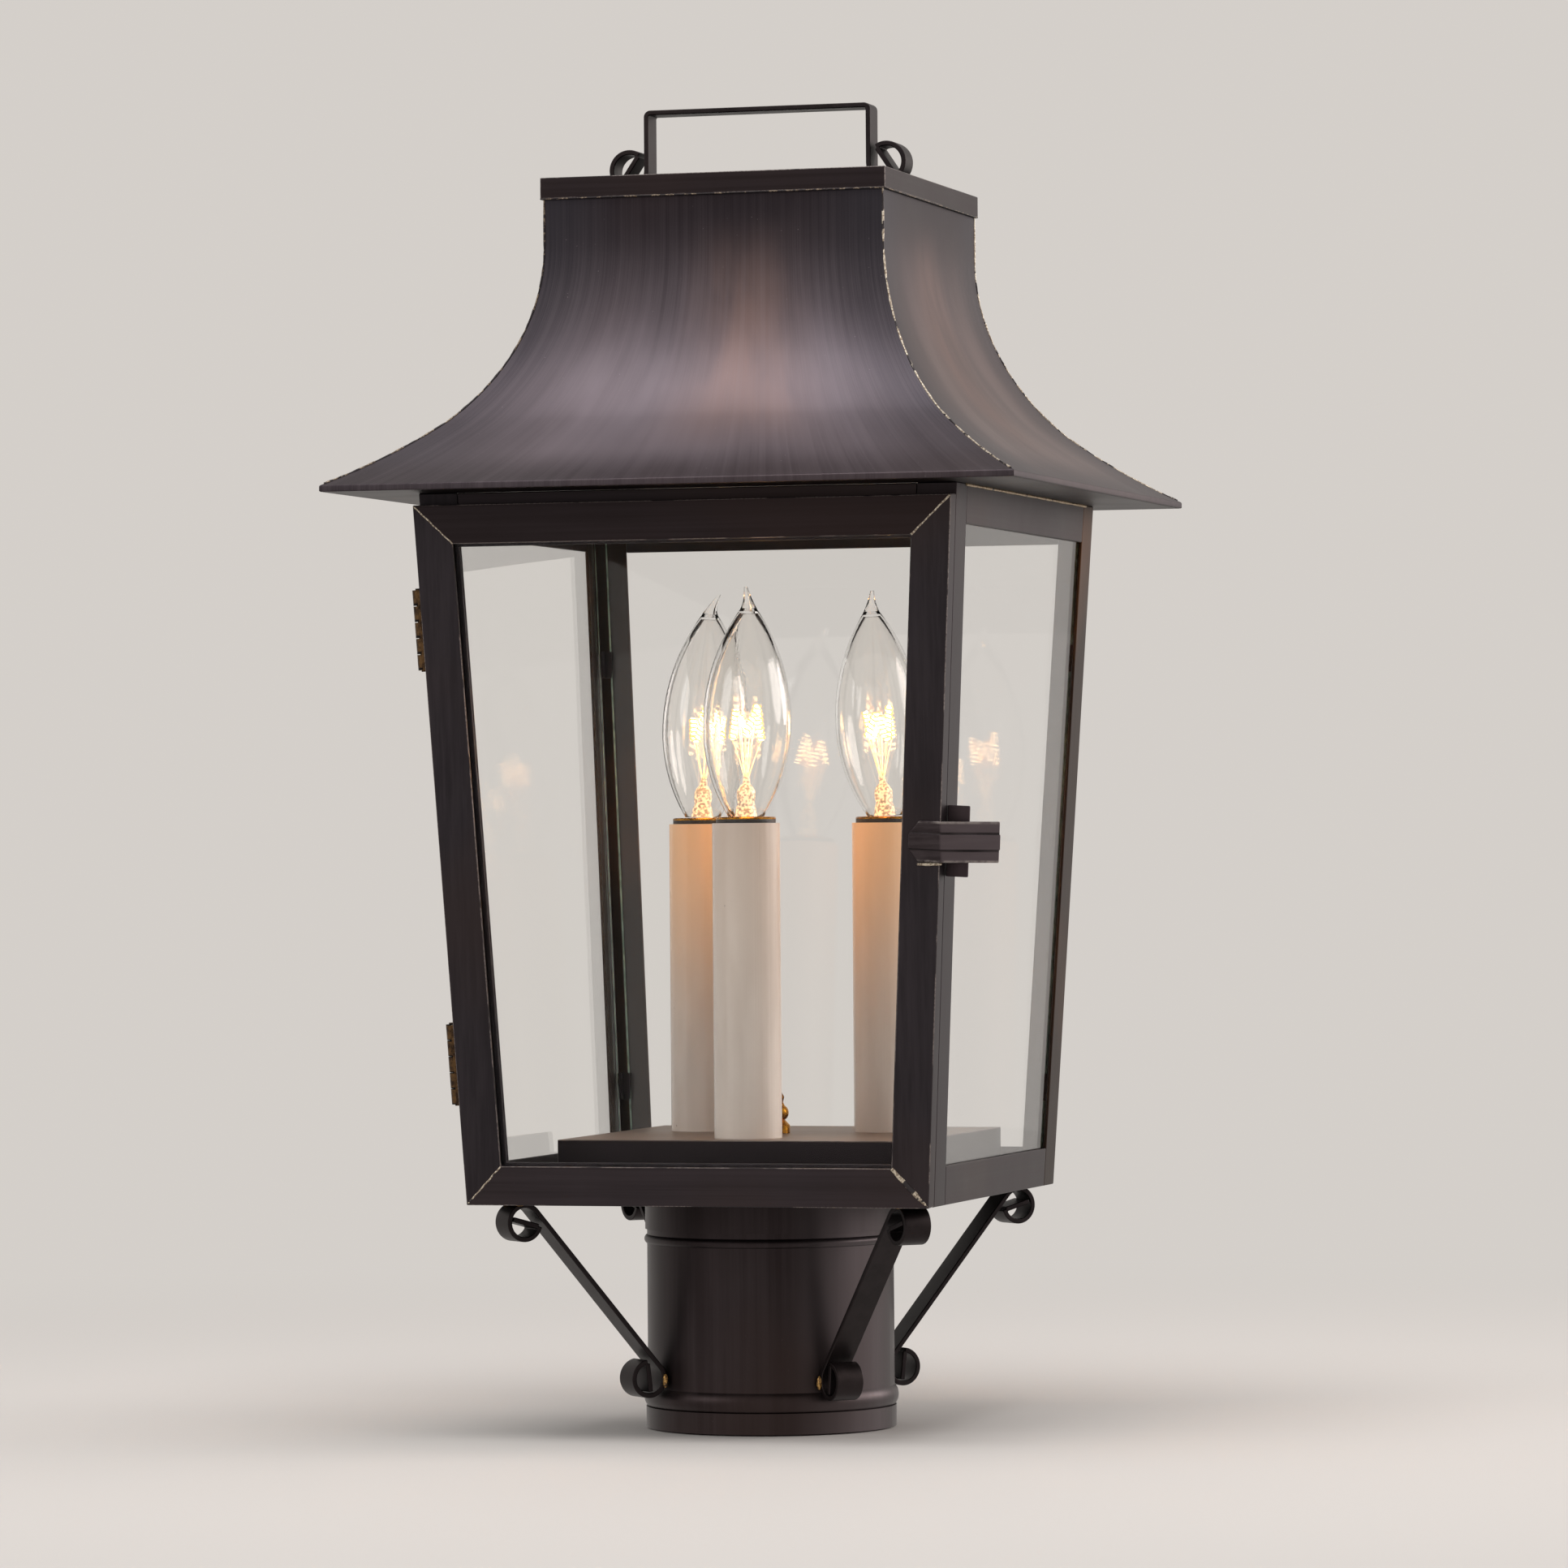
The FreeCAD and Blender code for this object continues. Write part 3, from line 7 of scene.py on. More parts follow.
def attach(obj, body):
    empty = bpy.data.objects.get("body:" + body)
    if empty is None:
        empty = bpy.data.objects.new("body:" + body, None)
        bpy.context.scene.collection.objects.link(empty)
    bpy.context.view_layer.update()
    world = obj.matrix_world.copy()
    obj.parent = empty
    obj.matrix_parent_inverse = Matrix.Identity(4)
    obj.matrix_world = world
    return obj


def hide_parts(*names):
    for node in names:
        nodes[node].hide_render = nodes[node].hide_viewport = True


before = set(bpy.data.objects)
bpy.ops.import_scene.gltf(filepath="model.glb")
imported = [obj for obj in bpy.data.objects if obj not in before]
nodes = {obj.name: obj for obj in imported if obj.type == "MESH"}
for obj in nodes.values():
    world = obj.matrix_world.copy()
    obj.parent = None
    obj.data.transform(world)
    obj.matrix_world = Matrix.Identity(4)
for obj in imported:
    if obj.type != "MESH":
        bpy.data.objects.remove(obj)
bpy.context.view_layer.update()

scene = bpy.context.scene
sides = ("front", "right", "back", "left")
corners = ("front_right", "back_right", "back_left", "front_left")
candles = ("front", "right", "left")
mm = 0.001


def addObject(name, data):
    added = bpy.data.objects.new(name, data)
    scene.collection.objects.link(added)
    return added


# The camera is fitted to the corners of the cap, the eave and the body: millimetres and degrees,
# with its focal length and frame in pixels.
view = {"azimuth": 16.39, "distance": 2303.0, "sideStep": 5.6, "height": 190.4,
        "pitch": 0.51, "roll": -0.43, "focal": 8612.0, "frame": 1932.0, "sensor": 36.0,
        "nearest": 50.0, "farthest": 60000.0}


def makeCamera():
    turn = math.radians(view["azimuth"])
    pitch, roll = math.radians(view["pitch"]), math.radians(view["roll"])
    away = Vector((-math.sin(turn), math.cos(turn), 0))
    right = Vector((math.cos(turn), math.sin(turn), 0))
    up = Vector((0, 0, 1))
    look = away * math.cos(pitch) + up * math.sin(pitch)
    top = up * math.cos(pitch) - away * math.sin(pitch)
    across = right * math.cos(roll) + top * math.sin(roll)
    upright = top * math.cos(roll) - right * math.sin(roll)
    place = right * view["sideStep"] - away * view["distance"] + up * view["height"]
    data = bpy.data.cameras.new("camera")
    data.sensor_width = view["sensor"]
    data.lens = view["sensor"] * view["focal"] / view["frame"]
    data.clip_start, data.clip_end = view["nearest"] * mm, view["farthest"] * mm
    camera = addObject("camera", data)
    turnMatrix = Matrix((across, upright, -look)).transposed()
    camera.matrix_world = Matrix.Translation(place * mm) @ turnMatrix.to_4x4()
    scene.camera = camera


makeCamera()
print("camera placed")


# small helpers for node trees
class Tree:
    def __init__(self, nodeTree):
        self.tree = nodeTree

    def add(self, kind, values=None, **settings):
        node = self.tree.nodes.new(kind)
        for name, value in settings.items():
            setattr(node, name, value)
        self.fill(node, values or {})
        return node

    def fill(self, node, values):
        for name, value in values.items():
            self.feed(value, node.inputs[name])

    def feed(self, value, socket):
        if isinstance(value, bpy.types.NodeSocket):
            self.tree.links.new(value, socket)
        else:
            socket.default_value = value

    def math(self, operation, first, second=0.0):
        return self.add("ShaderNodeMath", {0: first, 1: second}, operation=operation).outputs[0]

    def blend(self, factor, first, second):
        values = {0: factor, 6: first, 7: second}
        return self.add("ShaderNodeMix", values, data_type="RGBA").outputs[2]

    def mixShaders(self, factor, first, second):
        return self.add("ShaderNodeMixShader", {0: factor, 1: first.outputs[0],
                                                2: second.outputs[0]}).outputs[0]

    def vector(self, operation, first, second=(0, 0, 0)):
        return self.add("ShaderNodeVectorMath", {0: first, 1: second}, operation=operation).outputs

    def span(self, value, low, high, outLow=0.0, outHigh=1.0):
        values = {"Value": value, "From Min": low, "From Max": high, "To Min": outLow,
                  "To Max": outHigh}
        return self.add("ShaderNodeMapRange", values, interpolation_type="SMOOTHSTEP").outputs[0]

    def noise(self, place, scale, detail=4.0, roughness=0.55):
        return self.add("ShaderNodeTexNoise", {"Vector": place, "Scale": scale, "Detail": detail,
                                               "Roughness": roughness}).outputs["Fac"]

    def stretch(self, place, scale):
        return self.add("ShaderNodeMapping", {"Vector": place, "Scale": scale}).outputs[0]

    def split(self, place):
        return self.add("ShaderNodeSeparateXYZ", {"Vector": place}).outputs

    def join(self, x, y, z):
        return self.add("ShaderNodeCombineXYZ", {"X": x, "Y": y, "Z": z}).outputs[0]

    def bump(self, height, strength, distance):
        return self.add("ShaderNodeBump", {"Height": height, "Strength": strength,
                                           "Distance": distance}).outputs[0]


def srgb(red, green, blue):
    channels = []
    for value in (red, green, blue):
        share = value / 255.0
        channels.append(share / 12.92 if share <= 0.04045 else ((share + 0.055) / 1.055) ** 2.4)
    return (*channels, 1.0)


def newGroup(name, inputs, outputs):
    group = bpy.data.node_groups.new(name, "ShaderNodeTree")
    for label, kind, value in inputs:
        socket = group.interface.new_socket(name=label, in_out="INPUT", socket_type=kind)
        if value is not None:
            socket.default_value = value
    for label, kind in outputs:
        group.interface.new_socket(name=label, in_out="OUTPUT", socket_type=kind)
    tree = Tree(group)
    return group, tree, tree.add("NodeGroupInput").outputs, tree.add("NodeGroupOutput").inputs


colour, number, vector = "NodeSocketColor", "NodeSocketFloat", "NodeSocketVector"


# Fine brushed streaks, soft blotches and rubbed specks of a darkened metal sheet. Each noise has
# its scale, detail and roughness.
patinaGrain = {"fine": (1.0, 5.0, 0.62), "coarse": (1.0, 3.0, 0.5), "blotch": (30.0, 4.0, 0.6),
               "patch": (11.0, 2.0, 0.5), "specks": (1100.0, 1.0, 0.5),
               "coarseStretch": (0.2, 0.2, 0.55), "fineShare": 0.6, "streakShare": 0.75,
               "streakRough": 0.18, "blotchRough": 0.14, "leastRough": 0.18,
               "fineHeight": 0.7, "depth": 0.0003}


def makePatinaGroup():
    group, tree, ins, outs = newGroup(
        "brushedPatina",
        [("Along", vector, None), ("Place", vector, None), ("Color", colour, None),
         ("Light", colour, None), ("Warm", colour, None), ("Streak Amount", number, 0.3),
         ("Warm Amount", number, 0.3)],
        [("Color", colour), ("Roughness", number), ("Height", number)])
    fine = tree.noise(ins["Along"], *patinaGrain["fine"])
    wide = tree.stretch(ins["Along"], patinaGrain["coarseStretch"])
    coarse = tree.noise(wide, *patinaGrain["coarse"])
    blotch, patch, specks = (tree.noise(ins["Place"], *patinaGrain[grain])
                             for grain in ("blotch", "patch", "specks"))
    streak = tree.math("ADD", tree.math("MULTIPLY", fine, patinaGrain["fineShare"]),
                       tree.math("MULTIPLY", coarse, 1 - patinaGrain["fineShare"]))
    streakShare = patinaGrain["streakShare"]
    rubbedAndHighlight = tree.math("ADD", tree.math("MULTIPLY", tree.span(streak, 0.36, 0.66), streakShare),
                       tree.math("MULTIPLY", tree.span(blotch, 0.35, 0.7), 1 - streakShare))
    base = tree.blend(tree.math("MULTIPLY", rubbedAndHighlight, ins["Streak Amount"]),
                      ins["Color"], ins["Light"])
    warmth = tree.math("MULTIPLY", tree.span(patch, 0.48, 0.68), ins["Warm Amount"])
    tinted = tree.blend(warmth, base, ins["Warm"])
    dust = tree.span(specks, 0.79, 0.83, 0.0, 0.5)
    tree.feed(tree.blend(dust, tinted, ins["Light"]), outs["Color"])
    rough = tree.math("ADD", tree.math("MULTIPLY", streak, patinaGrain["streakRough"]),
                      tree.math("MULTIPLY", blotch, patinaGrain["blotchRough"]))
    tree.feed(tree.math("ADD", rough, patinaGrain["leastRough"]), outs["Roughness"])
    height = tree.math("ADD", tree.math("MULTIPLY", fine, patinaGrain["fineHeight"]),
                       tree.math("MULTIPLY", specks, 1 - patinaGrain["fineHeight"]))
    tree.feed(height, outs["Height"])
    return group


patina = makePatinaGroup()


def newMaterial(name):
    material = bpy.data.materials.new(name)
    material.use_nodes = True
    tree = Tree(material.node_tree)
    shader = material.node_tree.nodes["Principled BSDF"]
    place = tree.add("ShaderNodeTexCoord").outputs["Object"]
    return material, tree, shader, place


def usePatina(tree, shader, place, tone, finish, along=None):
    values = {"Along": along or tree.stretch(place, finish["grain"]), "Place": place,
              "Color": tone, "Light": finish["light"], "Warm": finish["warm"],
              "Streak Amount": finish["streak"], "Warm Amount": finish["warmth"]}
    used = tree.add("ShaderNodeGroup", values, node_tree=patina).outputs
    tree.fill(shader, {"Base Color": used["Color"],
                       "Roughness": tree.math("ADD", used["Roughness"], finish["rough"]),
                       "Normal": tree.bump(used["Height"], finish["bump"], patinaGrain["depth"]),
                       "Metallic": finish["metal"]})


# Darkened sheet and strap. The grain runs along the small number of the mapping.
sheetFinishes = {
    "uprightSheet": {"tone": srgb(42, 38, 41), "light": srgb(66, 60, 64), "warm": srgb(58, 47, 45),
                     "grain": (620, 620, 9), "streak": 0.5, "warmth": 0.45, "rough": 0.12,
                     "bump": 0.06, "metal": 0.9},
    "levelSheet": {"tone": srgb(48, 42, 44), "light": srgb(70, 62, 66), "warm": srgb(62, 50, 47),
                   "grain": (9, 9, 620), "streak": 0.5, "warmth": 0.45, "rough": 0.12,
                   "bump": 0.06, "metal": 0.9},
    # painted shade: a darker copy of the level sheet for the rails under the eave, also given to
    # the cap and soffit
    "eaveShadeSheet": {"tone": srgb(38, 31, 32), "light": srgb(58, 50, 53), "warm": srgb(52, 40, 38),
                  "grain": (9, 9, 620), "streak": 0.45, "warmth": 0.45, "rough": 0.12,
                  "bump": 0.06, "metal": 0.9},
    # painted light and shade: the back posts' copy of the upright sheet is darker, with a strong
    # warm tone for the bulbs' light on them
    "backPostSheet": {"tone": srgb(38, 26, 20), "light": srgb(58, 46, 39), "warm": srgb(80, 52, 32),
                      "grain": (620, 620, 9), "streak": 0.5, "warmth": 0.8, "rough": 0.12,
                      "bump": 0.06, "metal": 0.9},
    "strapMetal": {"tone": srgb(31, 26, 27), "light": srgb(54, 47, 49), "warm": srgb(50, 40, 38),
                   "grain": (240, 240, 240), "streak": 0.5, "warmth": 0.3, "rough": 0.1,
                   "bump": 0.05, "metal": 0.85},
    "keeperSheet": {"tone": srgb(60, 50, 53), "light": srgb(84, 74, 77), "warm": srgb(66, 54, 52),
                    "grain": (300, 300, 60), "streak": 0.5, "warmth": 0.3, "rough": 0.1,
                    "bump": 0.05, "metal": 0.85},
}


def makeSheet(name, finish):
    material, tree, shader, place = newMaterial(name)
    usePatina(tree, shader, place, finish["tone"], finish)
    return material


sheets = {name: makeSheet(name, finish) for name, finish in sheetFinishes.items()}

# the pan's top, above its edge's height in metres, is painted lighter than its dark rim: painted
# light on the face turned up, painted shade on the upright rim
panFinish = {"rim": srgb(30, 23, 26), "rimLight": srgb(46, 38, 40), "rimWarm": srgb(40, 31, 31),
             "top": srgb(130, 112, 99), "light": srgb(140, 123, 110),
             "warm": srgb(96, 78, 66), "streak": 0.25, "warmth": 0.3, "rough": 0.12,
             "bump": 0.004, "metal": 0.85, "grain": (40, 40, 40), "edge": 0.0957}


def makePanSheet():
    material, tree, shader, place = newMaterial("panSheet")
    # painted light: the top above the edge takes the lighter tones, the upright rim the darker ones
    litTopMask = tree.math("GREATER_THAN", tree.split(place)[2], panFinish["edge"])
    tone = tree.blend(litTopMask, panFinish["rim"], panFinish["top"])
    finish = dict(panFinish)
    finish["light"] = tree.blend(litTopMask, panFinish["rimLight"], panFinish["light"])
    finish["warm"] = tree.blend(litTopMask, panFinish["rimWarm"], panFinish["warm"])
    usePatina(tree, shader, place, tone, finish)
    return material


# The fitter carries a painted highlight on its right front, from one place across to another and
# less towards the back, in metres.
fitterFinish = {"tone": srgb(39, 31, 32), "rubbedAndHighlight": srgb(82, 75, 77), "light": srgb(72, 64, 66),
                "warm": srgb(56, 43, 40), "streak": 0.45, "warmth": 0.5, "rough": 0.08,
                "bump": 0.04, "metal": 0.85, "grain": (260, 260, 7), "from": 0.014, "to": 0.034,
                "back": 0.0, "front": -0.012, "backShare": 0.3, "cloud": (40, 40, 14)}


def makeFitterSheet():
    material, tree, shader, place = newMaterial("fitterSheet")
    x, y = tree.split(place)[:2]
    # painted highlight on the fitter's right front, broken by cloudy noise
    rubbedAndHighlight = tree.math("MULTIPLY", tree.span(x, fitterFinish["from"], fitterFinish["to"]),
                       tree.span(y, fitterFinish["back"], fitterFinish["front"],
                                 fitterFinish["backShare"], 1.0))
    cloudy = tree.noise(tree.stretch(place, fitterFinish["cloud"]), 1.0, 2.0)
    rubbedAndHighlight = tree.math("MULTIPLY", rubbedAndHighlight, tree.span(cloudy, 0.2, 0.6, 0.6, 1.0))
    tone = tree.blend(rubbedAndHighlight, fitterFinish["tone"], fitterFinish["rubbedAndHighlight"])
    usePatina(tree, shader, place, tone, fitterFinish)
    return material


# The latch carries painted shade in dark creases beside its rib and a painted highlight, broken by
# noise, along its outer edges; its side wing is painted lighter than its front leg, as lit. Its
# climb is
# measured along the door's sloping edge, in metres.
latchFinish = {"leg": srgb(38, 31, 33), "wing": srgb(84, 75, 78), "warm": srgb(56, 46, 46),
               "light": srgb(98, 89, 92), "wingFrom": 0.0831, "wingTo": 0.0841,
               "creaseShade": srgb(16, 12, 12), "rim": srgb(150, 142, 138), "streak": 0.55,
               "warmth": 0.3, "rough": 0.1, "bump": 0.05, "metal": 0.85, "grain": (60, 60, 420),
               "edge": (0.0549992, -0.0549992, 0.9969705), "middle": 0.2003,
               "creaseAt": 0.0027, "creaseOuter": 0.000525, "creaseInner": 0.000245,
               "rimFrom": 0.0056, "rimTo": 0.0059, "wearScale": 180.0}


def makeLatchSheet():
    material, tree, shader, place = newMaterial("latchSheet")
    climb = tree.vector("DOT_PRODUCT", place, latchFinish["edge"])["Value"]
    aside = tree.math("ABSOLUTE", tree.math("SUBTRACT", climb, latchFinish["middle"]))
    # painted shade: a near-black line in each crease beside the rib
    near = tree.math("ABSOLUTE", tree.math("SUBTRACT", aside, latchFinish["creaseAt"]))
    creaseShade = tree.span(near, latchFinish["creaseOuter"], latchFinish["creaseInner"])
    # painted highlight along the outer edges, broken by noise
    wear = tree.noise(place, latchFinish["wearScale"])
    wornAndHighlight = tree.math("MULTIPLY", tree.span(wear, 0.35, 0.6),
                     tree.span(aside, latchFinish["rimFrom"], latchFinish["rimTo"]))
    # painted light: the wing, turned to the side, is lighter than the front leg
    wing = tree.span(tree.split(place)[0], latchFinish["wingFrom"], latchFinish["wingTo"])
    tone = tree.blend(wing, latchFinish["leg"], latchFinish["wing"])
    tone = tree.blend(wornAndHighlight, tone, latchFinish["rim"])
    tone = tree.blend(creaseShade, tone, latchFinish["creaseShade"])
    usePatina(tree, shader, place, tone, latchFinish)
    return material


sheets["panSheet"] = makePanSheet()
sheets["fitterSheet"] = makeFitterSheet()
sheets["latchSheet"] = makeLatchSheet()

# The roof's sheets carry a painted reflection: dark under the cap, lighter where the bell flares
# and faces up, with a flare tone set apart for each side, and darker again at the hem. They are
# also darker at the hips, with a rubbed coppery patch.
roofFinish = {"top": srgb(38, 32, 36), "hip": srgb(46, 44, 50),
              "hem": srgb(54, 47, 51), "copper": srgb(122, 97, 89), "light": srgb(130, 120, 125),
              "warm": srgb(70, 56, 56), "streak": 0.2, "warmth": 0.22, "rough": 0.14,
              "bump": 0.05, "metal": 0.9, "darkAbove": 0.4, "lightBelow": 0.336,
              "hemFrom": 0.318, "hemTo": 0.307, "fanCount": 190.0, "streakLength": 14.0,
              "bandCount": 5.0, "bandLength": 24.0, "hipFrom": 0.45, "hipShare": 0.8,
              "hemShare": 0.8, "copperWidth": 0.44, "copperShare": 0.9,
              "copperTop": (0.396, 0.362), "copperFoot": (0.312, 0.33), "copperFootShare": 0.6,
              "streakTop": (0.398, 0.36), "topStreakShare": 0.35,
              # each side's flare tone; the right side's is lightest, as lit
              "sides": {"front": ("x", 0.2, srgb(104, 95, 101)),
                        "back": ("x", -0.25, srgb(104, 95, 101)),
                        "right": ("y", -0.1, srgb(114, 99, 97)),
                        "left": ("y", 0.3, srgb(108, 97, 99))}}


def makeRoofSheet(side, along, copperAt, flareReflectionTone):
    material, tree, shader, place = newMaterial("roofSheet" + side.title())
    x, y, z = tree.split(place)
    wide, deep = (x, y) if along == "x" else (y, x)
    fan = tree.math("DIVIDE", wide, tree.math("ABSOLUTE", deep))
    streaks = tree.join(tree.math("MULTIPLY", fan, roofFinish["fanCount"]), copperAt * 40,
                        tree.math("MULTIPLY", z, roofFinish["streakLength"]))
    bands = tree.join(tree.math("MULTIPLY", fan, roofFinish["bandCount"]), copperAt * 20 + 3,
                      tree.math("MULTIPLY", z, roofFinish["bandLength"]))
    broad = tree.noise(bands, 1.0, 3.0, 0.5)
    # painted reflection: lighter where the bell flares and faces up, darker above
    flareReflection = tree.span(z, roofFinish["darkAbove"], roofFinish["lightBelow"])
    flareReflection = tree.math("MULTIPLY", flareReflection, tree.span(broad, 0.25, 0.75, 0.72, 1.05))
    hip = tree.span(tree.math("ABSOLUTE", fan), roofFinish["hipFrom"], 1.0)
    tone = tree.blend(flareReflection, roofFinish["top"], flareReflectionTone)
    offset = tree.math("ABSOLUTE", tree.math("SUBTRACT", fan, copperAt))
    across = tree.span(offset, roofFinish["copperWidth"], 0.0, 0.0, roofFinish["copperShare"])
    rubbedAndHighlight = tree.math("MULTIPLY", across, tree.span(broad, 0.25, 0.62, 0.35, 1.0))
    rubbedAndHighlight = tree.math("MULTIPLY", rubbedAndHighlight, tree.span(z, *roofFinish["copperTop"]))
    foot = tree.span(z, *roofFinish["copperFoot"], 0.0, roofFinish["copperFootShare"])
    rubbedAndHighlight = tree.math("MULTIPLY", rubbedAndHighlight, foot)
    tone = tree.blend(rubbedAndHighlight, tone, roofFinish["copper"])
    hip = tree.math("MULTIPLY", hip, roofFinish["hipShare"])
    tone = tree.blend(hip, tone, roofFinish["hip"])
    # painted reflection: darker again at the hem
    hem = tree.span(z, roofFinish["hemFrom"], roofFinish["hemTo"], 0.0, roofFinish["hemShare"])
    tone = tree.blend(hem, tone, roofFinish["hem"])
    finish = dict(roofFinish)
    finish["streak"] = tree.span(z, *roofFinish["streakTop"],
                                 roofFinish["streak"] * roofFinish["topStreakShare"],
                                 roofFinish["streak"])
    usePatina(tree, shader, place, tone, finish, streaks)
    return material


roofSheets = {side: makeRoofSheet(side, *values) for side, values in roofFinish["sides"].items()}


grimeDepth = 0.0002  # metres


def makeBrass(name, tone, tarnish, rough):
    material, tree, shader, place = newMaterial(name)
    cloudy = tree.noise(place, 160.0, 4.0, 0.6)
    fine = tree.noise(place, 1400.0, 3.0, 0.6)
    tree.fill(shader, {"Base Color": tree.blend(tree.span(cloudy, 0.42, 0.7), tone, tarnish),
                       "Roughness": tree.span(fine, 0.3, 0.7, rough, rough + 0.16),
                       "Normal": tree.bump(fine, 0.15, grimeDepth), "Metallic": 1.0})
    return material


brass = makeBrass("polishedBrass", srgb(206, 146, 50), srgb(128, 80, 24), 0.16)
steel = makeBrass("platedSteel", srgb(150, 144, 132), srgb(96, 90, 80), 0.3)
copperWire = makeBrass("copperWire", srgb(220, 150, 90), srgb(180, 110, 60), 0.2)

# Aged hinge brass, with a dark joint between one knuckle and the next. The joints show on the
# barrel alone, near the hinge's axis, and leave the leaves plain.
hingeFinish = {"tone": srgb(96, 72, 46), "tarnish": srgb(46, 34, 26), "joint": srgb(20, 16, 14),
               "lowerStart": 0.10815, "upperStart": 0.2482, "between": 0.2, "pitch": 0.00515,
               "jointFrom": 0.4, "jointTo": 0.46,
               "axisPlace": (-0.0846958, -0.0824497, 0.1755566),
               "axis": (0.0549992, 0.0549992, -0.9969705), "barrel": 0.0023}


def makeHingeBrass():
    material, tree, shader, place = newMaterial("agedHingeBrass")
    cloudy = tree.noise(place, 420.0, 4.0, 0.65)
    tone = tree.blend(tree.span(cloudy, 0.38, 0.66), hingeFinish["tone"], hingeFinish["tarnish"])
    z = tree.split(place)[2]
    upper = tree.math("MULTIPLY", tree.math("GREATER_THAN", z, hingeFinish["between"]),
                      hingeFinish["upperStart"] - hingeFinish["lowerStart"])
    climb = tree.math("SUBTRACT", z, tree.math("ADD", upper, hingeFinish["lowerStart"]))
    turns = tree.math("FRACT", tree.math("DIVIDE", climb, hingeFinish["pitch"]))
    joint = tree.span(tree.math("ABSOLUTE", tree.math("SUBTRACT", turns, 0.5)),
                      hingeFinish["jointFrom"], hingeFinish["jointTo"])
    fromAxis = tree.vector("SUBTRACT", place, hingeFinish["axisPlace"])["Vector"]
    aside = tree.vector("CROSS_PRODUCT", fromAxis, hingeFinish["axis"])["Vector"]
    reach = tree.vector("LENGTH", aside)["Value"]
    joint = tree.math("MULTIPLY", joint, tree.math("LESS_THAN", reach, hingeFinish["barrel"]))
    tree.fill(shader, {"Base Color": tree.blend(joint, tone, hingeFinish["joint"]),
                       "Roughness": tree.span(cloudy, 0.3, 0.7, 0.3, 0.5),
                       "Normal": tree.bump(cloudy, 0.2, grimeDepth), "Metallic": 0.9})
    return material


hingeBrass = makeHingeBrass()


# seams of bare solder that the dark finish covers in places
seamFinish = {"cover": srgb(44, 38, 40), "coverEdge": 0.04, "grime": 1500.0,
              "rough": (0.34, 0.55), "metal": 0.45}


def makeSeam(name, bare, tarnish, size, shown):
    material, tree, shader, place = newMaterial(name)
    gaps = tree.noise(place, size, 3.0, 0.6)
    grime = tree.noise(place, seamFinish["grime"], 2.0, 0.6)
    tone = tree.blend(tree.span(grime, 0.38, 0.62), bare, tarnish)
    hidden = tree.span(gaps, shown, shown + seamFinish["coverEdge"])
    tree.fill(shader, {"Base Color": tree.blend(hidden, tone, seamFinish["cover"]),
                       "Roughness": tree.span(grime, 0.3, 0.7, *seamFinish["rough"]),
                       "Normal": tree.bump(grime, 0.25, grimeDepth),
                       "Metallic": seamFinish["metal"]})
    return material


hipSolder = makeSeam("hipSolder", srgb(216, 206, 188), srgb(140, 122, 104), 190.0, 0.53)
capSolder = makeSeam("capSolder", srgb(140, 124, 106), srgb(72, 60, 54), 240.0, 0.46)
mitreSolder = makeSeam("mitreSolder", srgb(206, 194, 174), srgb(128, 112, 96), 160.0, 0.6)
goldSolder = makeSeam("goldSolder", srgb(196, 152, 84), srgb(104, 72, 40), 420.0, 0.56)
railSolder = makeSeam("railSolder", srgb(188, 166, 132), srgb(128, 106, 78), 120.0, 0.62)
# the bevels of the door, pan and cap, where the finish is rubbed through here and there
wornEdge = makeSeam("wornEdge", srgb(112, 103, 100), srgb(76, 68, 68), 40.0, 0.52)


# clear glass that lets a share of the lamps' light straight through
def makeGlass(name, tint, index, lampShare):
    material, tree, shader, place = newMaterial(name)
    ripple = tree.noise(place, 14.0, 2.0, 0.4)
    tree.fill(shader, {"Base Color": tint, "Roughness": 0.0, "Transmission Weight": 1.0,
                       "IOR": index, "Normal": tree.bump(ripple, 0.04, 0.002)})
    clear = tree.add("ShaderNodeBsdfTransparent", {"Color": lampShare})
    shadow = tree.add("ShaderNodeLightPath").outputs["Is Shadow Ray"]
    tree.fill(material.node_tree.nodes["Material Output"],
              {"Surface": tree.mixShaders(shadow, shader, clear)})
    return material


paneTint, paneShare = (0.985, 0.985, 0.98, 1.0), (0.92, 0.92, 0.91, 1.0)
doorGlass = makeGlass("doorGlass", paneTint, 1.15, paneShare)
sideGlass = makeGlass("sideGlass", paneTint, 1.42, paneShare)
bulbGlass = makeGlass("bulbGlass", (1.0, 0.99, 0.975, 1.0), 1.45, (0.96, 0.95, 0.93, 1.0))


# ivory sleeves: faint upright ribs, a few specks, and the bulbs' warm light under the mouth painted
# into the colour and given as a faint glow
sleeveFinish = {"ivory": srgb(206, 195, 186), "aged": srgb(192, 179, 169),
                "warm": srgb(220, 176, 134), "speck": srgb(96, 80, 66),
                "bloomFrom": 0.11, "bloomTo": 0.205, "bloomPower": 1.6, "cloud": (60, 60, 12),
                "ribs": (520, 520, 3), "ribDepth": 0.0005, "specks": 330.0,
                "unlit": (0, 0, 0, 1), "lit": (1.0, 0.45, 0.15, 1), "light": 0.22, "rough": 0.26}


